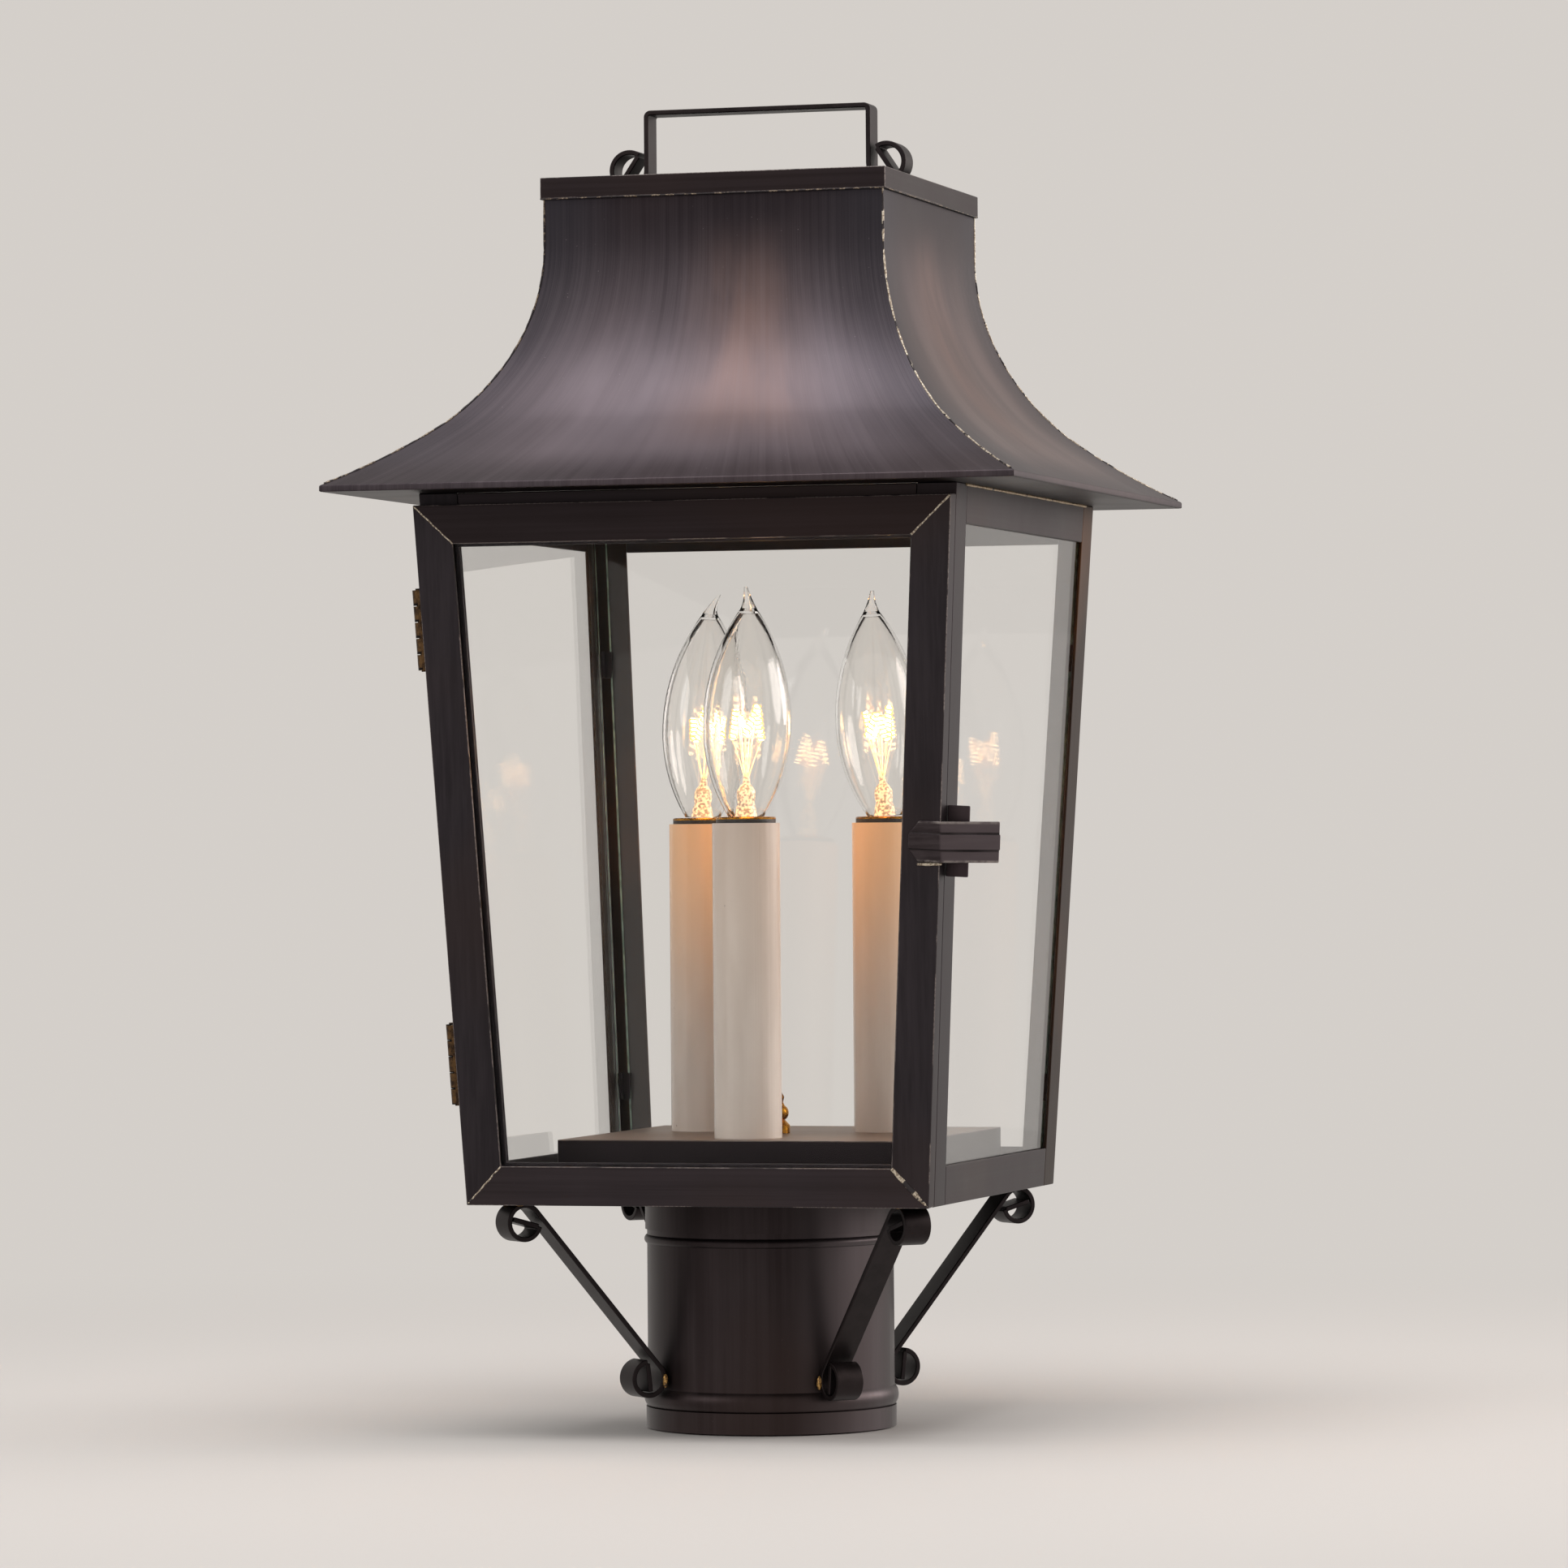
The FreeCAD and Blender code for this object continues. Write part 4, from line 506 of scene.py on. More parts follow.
def makeSleeve(name, glow):
    material, tree, shader, place = newMaterial(name)
    rise = tree.split(place)[2]
    bloom = tree.span(rise, sleeveFinish["bloomFrom"], sleeveFinish["bloomTo"])
    cloudy = tree.noise(tree.stretch(place, sleeveFinish["cloud"]), 1.0, 3.0)
    ribs = tree.noise(tree.stretch(place, sleeveFinish["ribs"]), 1.0, 3.0)
    specks = tree.noise(place, sleeveFinish["specks"], 1.0, 0.5)
    ivory = tree.blend(tree.span(cloudy, 0.35, 0.7), sleeveFinish["ivory"], sleeveFinish["aged"])
    # painted light: the bulbs' warm light under the mouth, in the base colour and, below, as a
    # faint glow
    warm = tree.blend(tree.math("MULTIPLY", bloom, glow), ivory, sleeveFinish["warm"])
    dirt = tree.span(specks, 0.79, 0.82, 0.0, 0.7)
    strength = tree.math("MULTIPLY", tree.math("POWER", bloom, sleeveFinish["bloomPower"]), glow)
    lit = tree.blend(strength, sleeveFinish["unlit"], sleeveFinish["lit"])
    tree.fill(shader, {"Base Color": tree.blend(dirt, warm, sleeveFinish["speck"]),
                       "Roughness": sleeveFinish["rough"],
                       "Normal": tree.bump(ribs, 0.3, sleeveFinish["ribDepth"]),
                       "Emission Color": lit, "Emission Strength": sleeveFinish["light"]})
    return material


def makePlain(name, tone, other, rough, scale=300.0):
    material, tree, shader, place = newMaterial(name)
    cloudy = tree.noise(place, scale, 3.0, 0.6)
    tree.fill(shader, {"Base Color": tree.blend(tree.span(cloudy, 0.35, 0.7), tone, other),
                       "Roughness": rough, "Normal": tree.bump(cloudy, 0.1, grimeDepth)})
    return material


# Light that comes off a hot or lit piece, in one tone broken by a second. The panes mirror a
# part of it, and the small lamps in the bulbs light the other pieces in its place.
def makeGlow(name, tone, other, strength, body, scale=500.0, mirrored=1.0):
    material, tree, shader, place = newMaterial(name)
    material.cycles.emission_sampling = "NONE"
    cloudy = tree.noise(place, scale, 2.0, 0.5)
    path = tree.add("ShaderNodeLightPath").outputs
    share = tree.span(path["Glossy Depth"], 0.0, 1.0, 1.0, mirrored)
    share = tree.math("MULTIPLY", share, tree.math("LESS_THAN", path["Diffuse Depth"], 0.5))
    glow = tree.blend(tree.span(cloudy, 0.42, 0.58), tone, other)
    shown = tree.add("ShaderNodeVectorMath", {0: glow, "Scale": share}, operation="SCALE")
    tree.fill(shader, {"Base Color": body, "Roughness": 0.25,
                       "Emission Color": shown.outputs["Vector"], "Emission Strength": strength})
    return material


# the side sleeves take more of the painted warm light than the front one
frontSleeve = makeSleeve("ivorySleeveFront", 0.12)
sideSleeve = makeSleeve("ivorySleeveSide", 0.8)
socketBlack = makePlain("socketPlastic", srgb(26, 24, 24), srgb(40, 36, 34), 0.5)
nutOrange = makePlain("wireNutPlastic", srgb(176, 92, 40), srgb(190, 110, 60), 0.4)
leadJacket = makePlain("leadJacket", srgb(30, 30, 32), srgb(44, 44, 46), 0.5)
paneEdge = makePlain("paneEdge", srgb(128, 156, 144), srgb(84, 110, 100), 0.2)
hotCoil = makeGlow("hotCoil", (1.0, 0.62, 0.26, 1), (1.0, 0.72, 0.38, 1), 60.0, (1, 0.9, 0.8, 1),
                   mirrored=3.2)
coilGlow = makeGlow("coilGlow", (1.0, 0.42, 0.10, 1), (1.0, 0.56, 0.18, 1), 1.15, (1, 0.7, 0.4, 1))
litStem = makeGlow("litStem", (0.07, 0.035, 0.015, 1), (1.0, 0.68, 0.38, 1), 1.05,
                   (0.6, 0.5, 0.4, 1), 1100.0)
litWire = makeGlow("litWire", (1.0, 0.55, 0.20, 1), (1.0, 0.72, 0.36, 1), 1.6,
                   (0.8, 0.6, 0.4, 1), 900.0)
print("materials made")


# finishes of the carried-over nodes
def nodeFinishes():
    shared = ((sheets["fitterSheet"], "fitter"), (sheets["latchSheet"], "latch_strap"),
              (sheets["keeperSheet"], "keeper_plate"), (sheets["panSheet"], "candle_pan"),
              (sheets["eaveShadeSheet"], "cap", "soffit", "door_rail_top"),
              (sheets["levelSheet"], "floor_plate", "door_rail_bottom"),
              (sheets["uprightSheet"], "door_stile_left", "door_stile_right", "door_retainer"),
              (sheets["strapMetal"], "handle", "glass_clips"), (doorGlass, "door_glass"),
              (hingeBrass, "hinge_pins", "hinge_frame_leaves", "hinge_door_leaves"),
              (brass, "finial", "bulb_bases"), (copperWire, "bulb_filaments"),
              (leadJacket, "socket_leads"), (nutOrange, "wire_nuts"),
              (steel, "set_screws", "socket_stands", "stand_nuts", "centre_rod", "rod_nut"))
    finishes = {name: finish for finish, *names in shared for name in names}
    for side in sides:
        finishes["bottom_rail_" + side] = sheets["levelSheet"]
        finishes["top_rail_" + side] = sheets["levelSheet"]
        finishes["roof_" + side] = roofSheets[side]
        if side != "front":
            finishes["glass_" + side] = sideGlass
    for corner in corners:
        finishes["corner_post_" + corner] = sheets["backPostSheet" if "back" in corner
                                                   else "uprightSheet"]
        finishes["brace_" + corner] = sheets["strapMetal"]
    for candle in candles:
        finishes["candle_sleeve_" + candle] = frontSleeve if candle == "front" else sideSleeve
        finishes["socket_" + candle] = socketBlack
        finishes["bulb_glass_" + candle] = bulbGlass
    return finishes


for nodeName, finishMaterial in nodeFinishes().items():
    nodes[nodeName].data.materials.clear()
    nodes[nodeName].data.materials.append(finishMaterial)

# Folded and cut edges catch the light: live bevels on the sheet nodes, in millimetres and
# degrees.
bevelShape = {"weld": 0.002, "flatTo": 0.4, "sharpFrom": 35, "segments": 2, "evenWeight": 100}
edgeRounding = {
    "wornAndHighlight": {"width": 0.28, "nodes": ["door_rail_bottom", "door_rail_top", "door_stile_left",
                                      "door_stile_right", "candle_pan", "cap"]},
    "plain": {"width": 0.35, "nodes": ["latch_strap", "keeper_plate", "handle", "door_retainer"]
              + ["brace_" + corner for corner in corners]
              + ["corner_post_" + corner for corner in corners]
              + ["roof_" + side for side in sides]
              + ["top_rail_" + side for side in sides]
              + ["bottom_rail_" + side for side in sides]},
}


def roundEdges(node, width, wornAndHighlight):
    weld = node.modifiers.new("merge", "WELD")
    weld.merge_threshold = bevelShape["weld"] * mm
    flat = node.modifiers.new("flatFaces", "DECIMATE")
    flat.decimate_type = "DISSOLVE"
    flat.angle_limit = math.radians(bevelShape["flatTo"])
    bevel = node.modifiers.new("roundEdges", "BEVEL")
    bevel.width = width * mm
    bevel.segments = bevelShape["segments"]
    bevel.limit_method = "ANGLE"
    bevel.angle_limit = math.radians(bevelShape["sharpFrom"])
    bevel.use_clamp_overlap = True
    if wornAndHighlight:
        node.data.materials.append(wornEdge)
        bevel.material = 1
    smooth = node.modifiers.new("evenShade", "WEIGHTED_NORMAL")
    smooth.keep_sharp = False
    smooth.weight = bevelShape["evenWeight"]


for kind, rounding in edgeRounding.items():
    for nodeName in rounding["nodes"]:
        roundEdges(nodes[nodeName], rounding["width"], kind == "wornAndHighlight")
print("nodes finished")


def deselect():
    bpy.ops.object.select_all(action="DESELECT")


def takeOnly(piece):
    deselect()
    piece.select_set(True)
    bpy.context.view_layer.objects.active = piece


def settle(piece):
    takeOnly(piece)
    bpy.ops.object.transform_apply(location=True, rotation=True, scale=True)


def joinAll(pieces):
    deselect()
    for piece in pieces:
        piece.select_set(True)
    bpy.context.view_layer.objects.active = pieces[0]
    bpy.ops.object.join()
    return bpy.context.object


# a point on the right side, or the same point carried a number of quarter turns round
def quarterTurned(across, along, height, turns):
    place = Vector((across, along))
    place.rotate(Matrix.Rotation(math.radians(90 * turns), 2))
    return place.x, place.y, height


def finishPiece(piece, name, material, body):
    piece.name = name
    piece.data.name = name
    piece.data.materials.clear()
    piece.data.materials.append(material)
    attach(piece, body)


# a round bead or wire through points in millimetres
def layWire(points, radius, swell=None, closed=False, sides=2):
    deselect()
    bpy.ops.curve.primitive_nurbs_path_add(location=(0, 0, 0))
    wire = bpy.context.object
    path = wire.data
    path.splines.clear()
    line = path.splines.new("POLY")
    line.points.add(len(points) - 1)
    for index, place in enumerate(points):
        line.points[index].co = (place[0] * mm, place[1] * mm, place[2] * mm, 1)
        line.points[index].radius = swell[index] if swell else 1
    line.use_cyclic_u = closed
    path.dimensions = "3D"
    path.bevel_depth = radius * mm
    path.bevel_resolution = sides
    path.use_fill_caps = True
    bpy.ops.object.convert(target="MESH")
    wire = bpy.context.object
    bpy.ops.object.shade_smooth_by_angle(angle=math.radians(50))
    return wire


# The roof's outline at the hips: half width and height of its sheets. The solder starts a little
# inside the eave, and its bead is uneven from two waves that never fall in step.
roofShape = {"eave": (114.3, 306.4), "bend": (82.4, 327.5), "neck": (57.0, 386.0),
             "neckMiddle": 393.0, "capLow": 400.8, "flareRadius": 161.0, "bellRadius": 80.0,
             "flarePoints": 26, "bellPoints": 40, "seamRadius": 0.3, "seamStart": 113.6,
             "waves": ((0.22, 2.3, 0), (0.18, 0.9, 1)),
             "hands": {"front_right": (1, -1), "back_right": (1, 1), "back_left": (-1, 1),
                       "front_left": (-1, -1)}}


def arcPoints(start, end, radius, count):
    chord = Vector(end) - Vector(start)
    middle = (Vector(end) + Vector(start)) / 2
    rise = math.sqrt(radius ** 2 - (chord.length / 2) ** 2)
    centre = middle + Vector((chord.y, -chord.x)).normalized() * rise
    first = math.atan2(start[1] - centre.y, start[0] - centre.x)
    last = math.atan2(end[1] - centre.y, end[0] - centre.x)
    sweep = (last - first + math.pi) % (2 * math.pi) - math.pi
    points = []
    for index in range(count):
        angle = first + sweep * index / (count - 1)
        points.append((centre.x + radius * math.cos(angle), centre.y + radius * math.sin(angle)))
    return points


def makeHipSeams():
    outline = arcPoints(roofShape["eave"], roofShape["bend"], roofShape["flareRadius"],
                        roofShape["flarePoints"])
    outline += arcPoints(roofShape["bend"], roofShape["neck"], roofShape["bellRadius"],
                         roofShape["bellPoints"])[1:]
    neckHalf = roofShape["neck"][0]
    outline += [(neckHalf, roofShape["neckMiddle"]), (neckHalf, roofShape["capLow"])]
    outline = [place for place in outline if place[0] < roofShape["seamStart"]]
    swell = [sum((size * math.sin(index * pace + start)
                  for size, pace, start in roofShape["waves"]), 1)
             for index in range(len(outline))]
    for corner, (handX, handY) in roofShape["hands"].items():
        points = [(handX * half, handY * half, height) for half, height in outline]
        seam = layWire(points, roofShape["seamRadius"], swell)
        solder = capSolder if corner == "front_left" else hipSolder
        finishPiece(seam, "hip_seam_" + corner, solder, "lantern")


makeHipSeams()

# a thin line of solder where the cap's skirt sits on the roof
capSeam = {"half": 57.9, "height": 400.7, "radius": 0.24, "steps": 8}


def makeCapSeam():
    half, height, steps = capSeam["half"], capSeam["height"], capSeam["steps"]
    points = []
    for turn in range(4):
        for step in range(steps):
            points.append(quarterTurned(half, -half + 2 * half * step / steps, height, turn))
    seam = layWire(points, capSeam["radius"], closed=True)
    finishPiece(seam, "cap_seam", capSolder, "lantern")


makeCapSeam()
print("roof seams laid")

# The door's face slopes with the body. Its seams are laid flat, then leaned against the face.
doorFace = {"halfBottom": 76.8, "base": 76.0, "lean": math.atan(12.6 / 228.4), "out": 6.8,
            "low": 0.3, "high": 225.05, "face": 12.6}


def doorHalf(climb):
    return doorFace["halfBottom"] + math.sin(doorFace["lean"]) * climb


def doorCorner(hand, upper, inset):
    climb = doorFace["high"] - inset if upper else doorFace["low"] + inset
    return hand * (doorHalf(climb) - inset), climb


# leans a piece drawn across x and up z onto the door's face, at a distance from it
def leanOnDoor(piece, stand, flatness):
    piece.scale = (1, flatness, 1)
    settle(piece)
    piece.rotation_euler = (doorFace["lean"], 0, 0)
    out = doorFace["out"] + stand
    piece.location = (0, -(doorFace["halfBottom"] + out * math.cos(doorFace["lean"])) * mm,
                      (doorFace["base"] - out * math.sin(doorFace["lean"])) * mm)
    settle(piece)


# where each mitre is, its bead's radius and its swelling from the inner corner to the outer one
mitreBead = {"innerGap": 0.1, "outerGap": 0.35, "steps": 12, "wobble": 0.12, "wobblePace": 1.9,
             "stand": 0.02, "flatness": 0.3}
mitreSeams = {
    "bottom_left": {"hand": -1, "upper": False, "radius": 0.24, "swell": (1.0, 1.1, 0.9, 1.0)},
    "bottom_right": {"hand": 1, "upper": False, "radius": 0.75, "swell": (0.75, 1.0, 1.1, 0.35)},
    "top_left": {"hand": -1, "upper": True, "radius": 0.26, "swell": (1.0, 0.8, 1.1, 1.0)},
    "top_right": {"hand": 1, "upper": True, "radius": 0.3, "swell": (1.2, 0.8, 0.9, 1.3)},
}


def makeMitreSeams():
    for name, seam in mitreSeams.items():
        start = doorCorner(seam["hand"], seam["upper"], doorFace["face"] - mitreBead["innerGap"])
        end = doorCorner(seam["hand"], seam["upper"], mitreBead["outerGap"])
        points, swell = [], []
        steps = mitreBead["steps"]
        for index in range(steps + 1):
            share = index / steps
            wobble = mitreBead["wobble"] * math.sin(index * mitreBead["wobblePace"])
            points.append((start[0] + (end[0] - start[0]) * share + wobble, 0,
                           start[1] + (end[1] - start[1]) * share))
            knot = share * 3
            low = min(int(knot), 2)
            swell.append(seam["swell"][low] + (seam["swell"][low + 1] - seam["swell"][low])
                         * (knot - low))
        bead = layWire(points, seam["radius"], swell)
        leanOnDoor(bead, mitreBead["stand"], mitreBead["flatness"])
        finishPiece(bead, "mitre_seam_" + name, mitreSolder, "door")


makeMitreSeams()

# a strip of bare solder under the latch's front leg
latchBead = {"from": 75.6, "to": 83.6, "climb": 108.95, "radius": 0.5, "steps": 8,
             "stand": 0.05, "flatness": 0.6, "ends": 0.7, "rise": 0.4, "wobble": 0.1,
             "wobblePace": 2.1}


def makeLatchBead():
    points, swell = [], []
    for index in range(latchBead["steps"] + 1):
        share = index / latchBead["steps"]
        points.append((latchBead["from"] + (latchBead["to"] - latchBead["from"]) * share,
                       0, latchBead["climb"]))
        swell.append(latchBead["ends"] + latchBead["rise"] * math.sin(share * math.pi)
                     + latchBead["wobble"] * math.sin(index * latchBead["wobblePace"]))
    bead = layWire(points, latchBead["radius"], swell)
    leanOnDoor(bead, latchBead["stand"], latchBead["flatness"])
    finishPiece(bead, "latch_solder", mitreSolder, "door")


makeLatchBead()

# Drops of solder where the braces' scrolls touch: millimetres from the axis, above the foot rim
# and beside the strap's middle.
dropRoughness = 0.35
braceSolder = {"foot": {"reach": 42.1, "height": 16.6, "aside": 5.2, "size": (0.9, 0.9, 2.4)},
               "head": {"reach": 94.0, "height": 75.6, "aside": 4.6, "size": (2.2, 1.5, 0.6)}}


def makeBraceSolder():
    for index, corner in enumerate(corners):
        angle = math.radians(-45 + 90 * index)
        drops = []
        for drop in braceSolder.values():
            for hand in (-1, 1):
                along = Vector((math.cos(angle), math.sin(angle), 0))
                aside = Vector((-math.sin(angle), math.cos(angle), 0))
                place = along * drop["reach"] + aside * hand * drop["aside"]
                deselect()
                bpy.ops.mesh.primitive_ico_sphere_add(subdivisions=3, radius=mm)
                blob = bpy.context.object
                bpy.ops.object.mode_set(mode="EDIT")
                bpy.ops.transform.resize(value=drop["size"])
                bpy.ops.transform.vertex_random(offset=dropRoughness * mm,
                                                seed=index * 7 + hand + 2)
                bpy.ops.mesh.vertices_smooth(factor=0.5, repeat=3)
                bpy.ops.object.mode_set(mode="OBJECT")
                blob.rotation_euler = (0, 0, angle)
                blob.location = (place.x * mm, place.y * mm, drop["height"] * mm)
                drops.append(blob)
        piece = joinAll(drops)
        settle(piece)
        bpy.ops.object.shade_smooth()
        finishPiece(piece, "brace_solder_" + corner, goldSolder, "lantern")


makeBraceSolder()

# bright solder along the top of each open side's upper rail, under the eave
railSeam = {"half": 89.5, "reach": 78.0, "height": 304.05, "radius": 0.42, "steps": 24,
            "swell": 0.2, "pace": 1.7}


def makeRailSeams():
    for index, side in enumerate(("right", "back", "left")):
        points, swell = [], []
        for step in range(railSeam["steps"] + 1):
            along = railSeam["reach"] * (2 * step / railSeam["steps"] - 1)
            points.append(quarterTurned(railSeam["half"], along, railSeam["height"], index))
            swell.append(1 + railSeam["swell"] * math.sin(step * railSeam["pace"] + index))
        seam = layWire(points, railSeam["radius"], swell)
        finishPiece(seam, "rail_seam_" + side, railSolder, "lantern")


makeRailSeams()
print("solder laid")

# Upright edges of the panes, where clear glass looks green: face, half width and height of a
# pane's lower and upper corners.
paneShape = {"corners": ((74.8, 70.75, 78.2), (87.0, 83.25, 303.0)), "radius": 0.35}


def makePaneEdges():
    for index, side in enumerate(("right", "back", "left")):
        for hand in (-1, 1):
            points = [quarterTurned(face, hand * half, height, index)
                      for face, half, height in paneShape["corners"]]
            edge = layWire(points, paneShape["radius"])
            finishPiece(edge, "pane_edge_" + side + ("_near" if hand < 0 else "_far"),
                        paneEdge, "lantern")


makePaneEdges()

# Bulbs stand over the sockets and lean a little: degrees, and the plan angle leaned towards.
candleShape = {"offset": 3.7, "ring": 36.5, "mouth": 199.5, "neck": 5.7, "lift": 0.3,
               "angles": {"front": -90.0, "right": 30.0, "left": 150.0},
               "leans": {"front": (1.2, 16.0), "right": (3.4, 196.0), "left": (2.6, 16.0)},
               "turns": {"front": 70.0, "right": 20.0, "left": 130.0}}


def candlePlace(name, height):
    angle = math.radians(candleShape["angles"][name])
    return Vector((candleShape["offset"] + candleShape["ring"] * math.cos(angle),
                   candleShape["ring"] * math.sin(angle), height))


def bulbMatrix(name):
    degrees, towards = candleShape["leans"][name]
    turn = math.radians(towards)
    axis = Vector((-math.sin(turn), math.cos(turn), 0))
    lift = candleShape["lift"] + candleShape["neck"] * math.tan(math.radians(degrees))
    place = Matrix.Translation(candlePlace(name, candleShape["mouth"] + lift) * mm)
    spin = Matrix.Rotation(math.radians(candleShape["turns"][name]), 4, "Z")
    return place @ Matrix.Rotation(math.radians(degrees), 4, axis) @ spin


# Glass stem: radius and height of each ring above the bulb's neck. Crown of the coil: plan angle,
# radius and height of each turn of its zigzag. Supports: radius of the two end wires and of the
# others, and each wire's hub and elbow as shares of its tip.
filament = {"stem": ((3.7, 0.3), (3.5, 1.4), (3.2, 3.0), (2.7, 4.8), (3.0, 6.6), (2.9, 8.6),
                     (2.1, 10.0), (1.2, 11.0), (1.0, 13.0), (0.7, 14.2), (0.2, 14.6)),
            "crown": ((-150, 4.9, 26.6), (-106, 4.0, 33.8), (-62, 4.8, 25.0), (-20, 3.8, 36.2),
                      (28, 5.0, 26.0), (72, 4.3, 33.0), (118, 4.7, 25.2), (160, 4.4, 35.0)),
            "coil": {"radius": 0.6, "pitch": 0.9, "wire": 0.3, "steps": 9},
            "glow": {"radius": 1.2, "pitch": 1.5, "wire": 0.3, "steps": 10},
            "supports": {"endWire": 0.3, "wire": 0.17, "hubShare": 0.16, "hubUnder": 1.5,
                         "elbowShare": 0.55, "elbowRise": 0.45}}


# a ring extruded upwards through rings of radius and height, round a place in metres
def raiseRings(rings, place, sides, fill):
    deselect()
    bpy.ops.mesh.primitive_circle_add(vertices=sides, radius=rings[0][0] * mm, fill_type=fill,
                                      location=(place.x, place.y, place.z + rings[0][1] * mm))
    bpy.ops.object.mode_set(mode="EDIT")
    bpy.ops.mesh.select_all(action="SELECT")
    for (wide, low), (narrow, high) in zip(rings, rings[1:]):
        bpy.ops.mesh.extrude_region_move(
            TRANSFORM_OT_translate={"value": (0, 0, (high - low) * mm)})
        bpy.ops.transform.resize(value=(narrow / wide, narrow / wide, 1),
                                 center_override=(place.x, place.y, 0))
    bpy.ops.object.mode_set(mode="OBJECT")
    return bpy.context.object


def faceOutwards():
    bpy.ops.object.mode_set(mode="EDIT")
    bpy.ops.mesh.select_all(action="SELECT")
    bpy.ops.mesh.normals_make_consistent(inside=False)
    bpy.ops.object.mode_set(mode="OBJECT")


def makeStem():
    stem = raiseRings(filament["stem"], Vector(), 28, "NGON")
    faceOutwards()
    settle(stem)
    bpy.ops.object.shade_smooth_by_angle(angle=math.radians(60))
    stem.data.materials.append(litStem)
    return stem


def crownPoints():
    return [Vector((radius * math.cos(math.radians(degrees)),
                    radius * math.sin(math.radians(degrees)), height))
            for degrees, radius, height in filament["crown"]]


# a fine helix wound round the zigzag of the crown
def makeCoil(winding, material):
    crown = crownPoints()
    points = []
    travelled = 0.0
    stepLength = winding["pitch"] / winding["steps"]
    for start, end in zip(crown, crown[1:]):
        run = end - start
        along = run.normalized()
        aside = along.cross(Vector((0, 0, 1))).normalized()
        above = aside.cross(along)
        for index in range(int(run.length / stepLength)):
            centre = start + along * (index * stepLength)
            angle = 2 * math.pi * travelled / winding["pitch"]
            travelled += stepLength
            points.append(centre + (aside * math.cos(angle) + above * math.sin(angle))
                          * winding["radius"])
    coil = layWire(points, winding["wire"], sides=1)
    coil.data.materials.append(material)
    return coil


def makeSupports():
    wires = []
    shape = filament["supports"]
    top = filament["stem"][-1][1]
    crown = crownPoints()
    for index, tip in enumerate(crown):
        thick = shape["endWire"] if index in (0, len(crown) - 1) else shape["wire"]
        hubShare, elbowShare = shape["hubShare"], shape["elbowShare"]
        hub = Vector((tip.x * hubShare, tip.y * hubShare, top - shape["hubUnder"]))
        elbow = Vector((tip.x * elbowShare, tip.y * elbowShare,
                        top + (tip.z - top) * shape["elbowRise"]))
        wires.append(layWire([hub, elbow, tip], thick, sides=1))
    supports = joinAll(wires)
    supports.data.materials.append(litWire)
    return supports


def makeFilaments():
    first = joinAll([makeStem(), makeCoil(filament["coil"], hotCoil),
                     makeCoil(filament["glow"], coilGlow), makeSupports()])
    copies = []
    for name in candles:
        copy = addObject(first.name, first.data.copy())
        copy.matrix_world = bulbMatrix(name)
        settle(copy)
        copies.append(copy)
    takeOnly(first)
    bpy.ops.object.delete()
    piece = joinAll(copies)
    piece.name = "lit_filaments"
    piece.data.name = "lit_filaments"
    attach(piece, "lantern")
    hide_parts("bulb_filaments")


makeFilaments()

# rolled brass lip just inside each socket's mouth: radius and height of each ring of its edge
socketLip = ((9.5, -0.3), (9.6, 0.05), (9.3, 0.3), (8.7, 0.35), (8.3, 0.1), (8.2, -0.4))
lipWall = 0.2


def makeSocketLips():
    for name in candles:
        place = candlePlace(name, candleShape["mouth"]) * mm
        lip = raiseRings(socketLip, place, 48, "NOTHING")
        solid = lip.modifiers.new("wall", "SOLIDIFY")
        solid.thickness = lipWall * mm
        bpy.ops.object.modifier_apply(modifier="wall")
        faceOutwards()
        settle(lip)
        bpy.ops.object.shade_smooth_by_angle(angle=math.radians(40))
        finishPiece(lip, "socket_lip_" + name, brass, "lantern")


makeSocketLips()
print("bulbs dressed")

# Plain studio: the colour seen by the camera and by metal and glass, and the light on the object.
# The floor fades into the backdrop with its distance from the lantern, in metres.
backdrop = (0.66, 0.625, 0.59, 1)
ambient = {"tone": (1.0, 0.98, 0.96, 1), "strength": 0.5}
floorShape = {"size": 14.0, "under": 0.0005, "tone": (0.62, 0.59, 0.565, 1),
              "rough": 0.8, "fadeFrom": 0.25, "fadeTo": 0.9}


def seenRay(tree):
    path = tree.add("ShaderNodeLightPath").outputs
    return tree.math("MAXIMUM", path["Is Camera Ray"],
                     tree.math("MAXIMUM", path["Is Glossy Ray"], path["Is Transmission Ray"]))


def makeFloor():
    deselect()
    bpy.ops.mesh.primitive_plane_add(size=floorShape["size"],
                                     location=(0, 0, -floorShape["under"]))
    floor = bpy.context.object
    floor.name = "studio_floor"
    material, tree, shader, place = newMaterial("paleFloor")
    tree.fill(shader, {"Base Color": floorShape["tone"], "Roughness": floorShape["rough"]})
    far = tree.vector("LENGTH", place)["Value"]
    glossy = tree.add("ShaderNodeLightPath").outputs["Is Glossy Ray"]
    fade = tree.span(far, floorShape["fadeFrom"], floorShape["fadeTo"])
    fade = tree.math("MULTIPLY", seenRay(tree), tree.math("MAXIMUM", fade, glossy))
    plain = tree.add("ShaderNodeEmission", {"Color": backdrop, "Strength": 1.0})
    tree.fill(material.node_tree.nodes["Material Output"],
              {"Surface": tree.mixShaders(fade, shader, plain)})
    floor.data.materials.append(material)


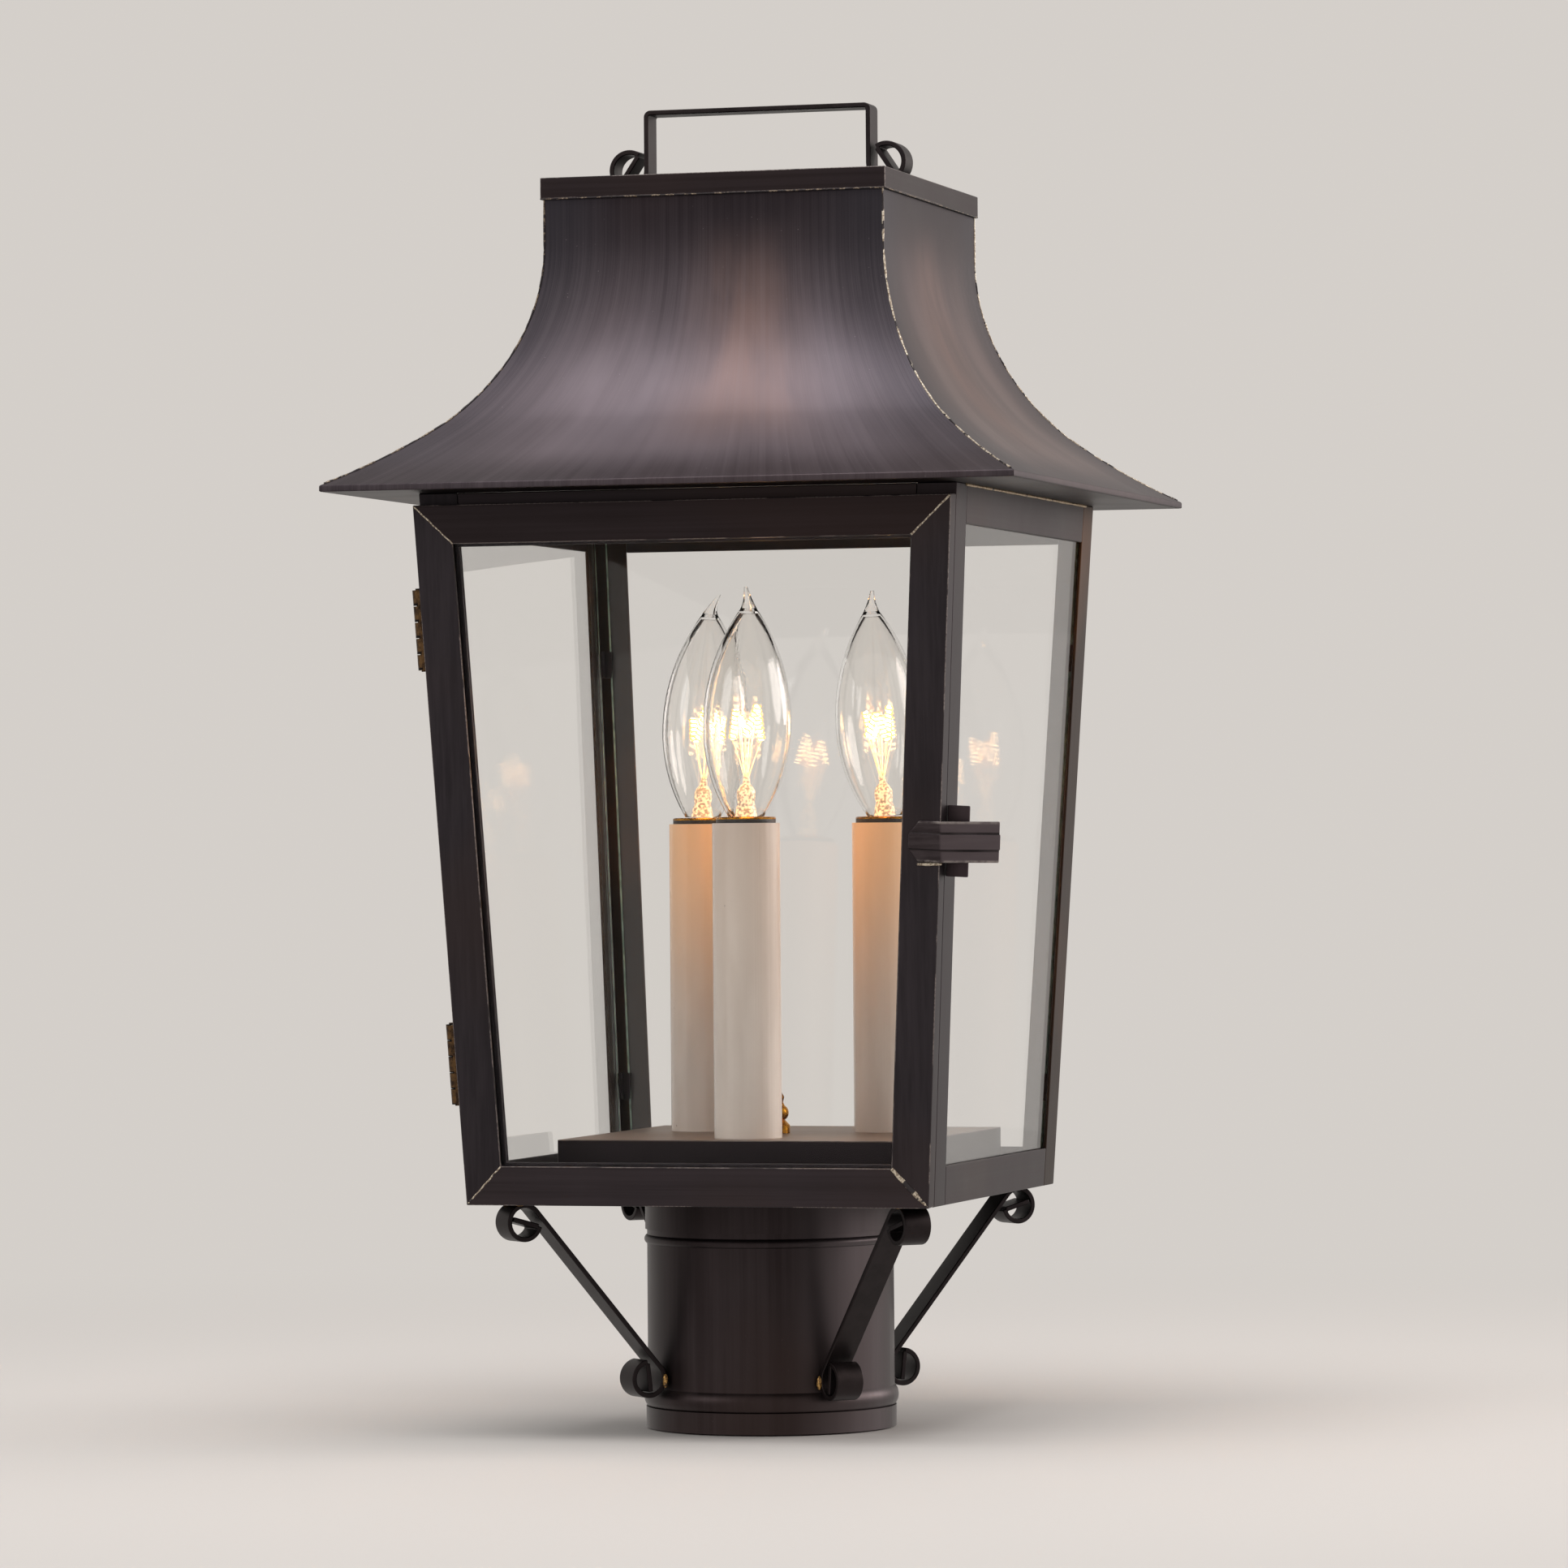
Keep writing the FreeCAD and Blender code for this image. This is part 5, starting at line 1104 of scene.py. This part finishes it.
def makeWorld():
    world = bpy.data.worlds.new("studio")
    scene.world = world
    world.use_nodes = True
    tree = Tree(world.node_tree)
    world.node_tree.nodes.clear()
    shown = tree.add("ShaderNodeBackground", {"Color": backdrop, "Strength": 1.0})
    light = tree.add("ShaderNodeBackground", {"Color": ambient["tone"],
                                              "Strength": ambient["strength"]})
    tree.add("ShaderNodeOutputWorld", {"Surface": tree.mixShaders(seenRay(tree), light, shown)})


# lamps stand in metres, with their power in watts, and all face one height on the lantern
lampAim = (0, 0, 0.25)
lamps = {
    "overhead": {"place": (0.1, -0.5, 1.9), "size": 1.4, "power": 22.0, "tone": (1, 1, 1)},
    "left_fill": {"place": (-1.6, -1.5, 0.9), "size": 1.2, "power": 9.0, "tone": (1, 1, 1)},
    "right_fill": {"place": (1.9, 0.55, 0.8), "size": 1.2, "power": 15.0,
                   "tone": (1.0, 0.92, 0.88)},
    "right_rim": {"place": (1.55, 1.5, 0.6), "size": 0.8, "power": 8.5,
                  "tone": (1.0, 0.90, 0.87)},
}
bulbLight = {"power": 0.09, "tone": (1.0, 0.52, 0.2), "height": 29.0, "radius": 0.004}


def hangLamp(name, kind, values):
    data = bpy.data.lights.new(name, kind)
    data.energy, data.color = values["power"], values["tone"]
    lamp = addObject(name, data)
    lamp.visible_camera = False
    return lamp


def makeLamps():
    for name, lampValues in lamps.items():
        lamp = hangLamp(name, "AREA", lampValues)
        lamp.data.shape = "DISK"
        lamp.data.size = lampValues["size"]
        lamp.location = lampValues["place"]
        aim = Vector(lampAim) - Vector(lampValues["place"])
        lamp.rotation_mode = "QUATERNION"
        lamp.rotation_quaternion = aim.to_track_quat("-Z", "Y")


# the lit bulbs warm the sleeves' tops and the back posts
def makeBulbLights():
    for name in candles:
        lamp = hangLamp("bulb_light_" + name, "POINT", bulbLight)
        lamp.data.shadow_soft_size = bulbLight["radius"]
        lamp.location = bulbMatrix(name) @ Vector((0, 0, bulbLight["height"] * mm))
        lamp.visible_transmission = False


makeFloor()
makeWorld()
makeLamps()
makeBulbLights()
scene.view_settings.view_transform = "Standard"
print("studio made")
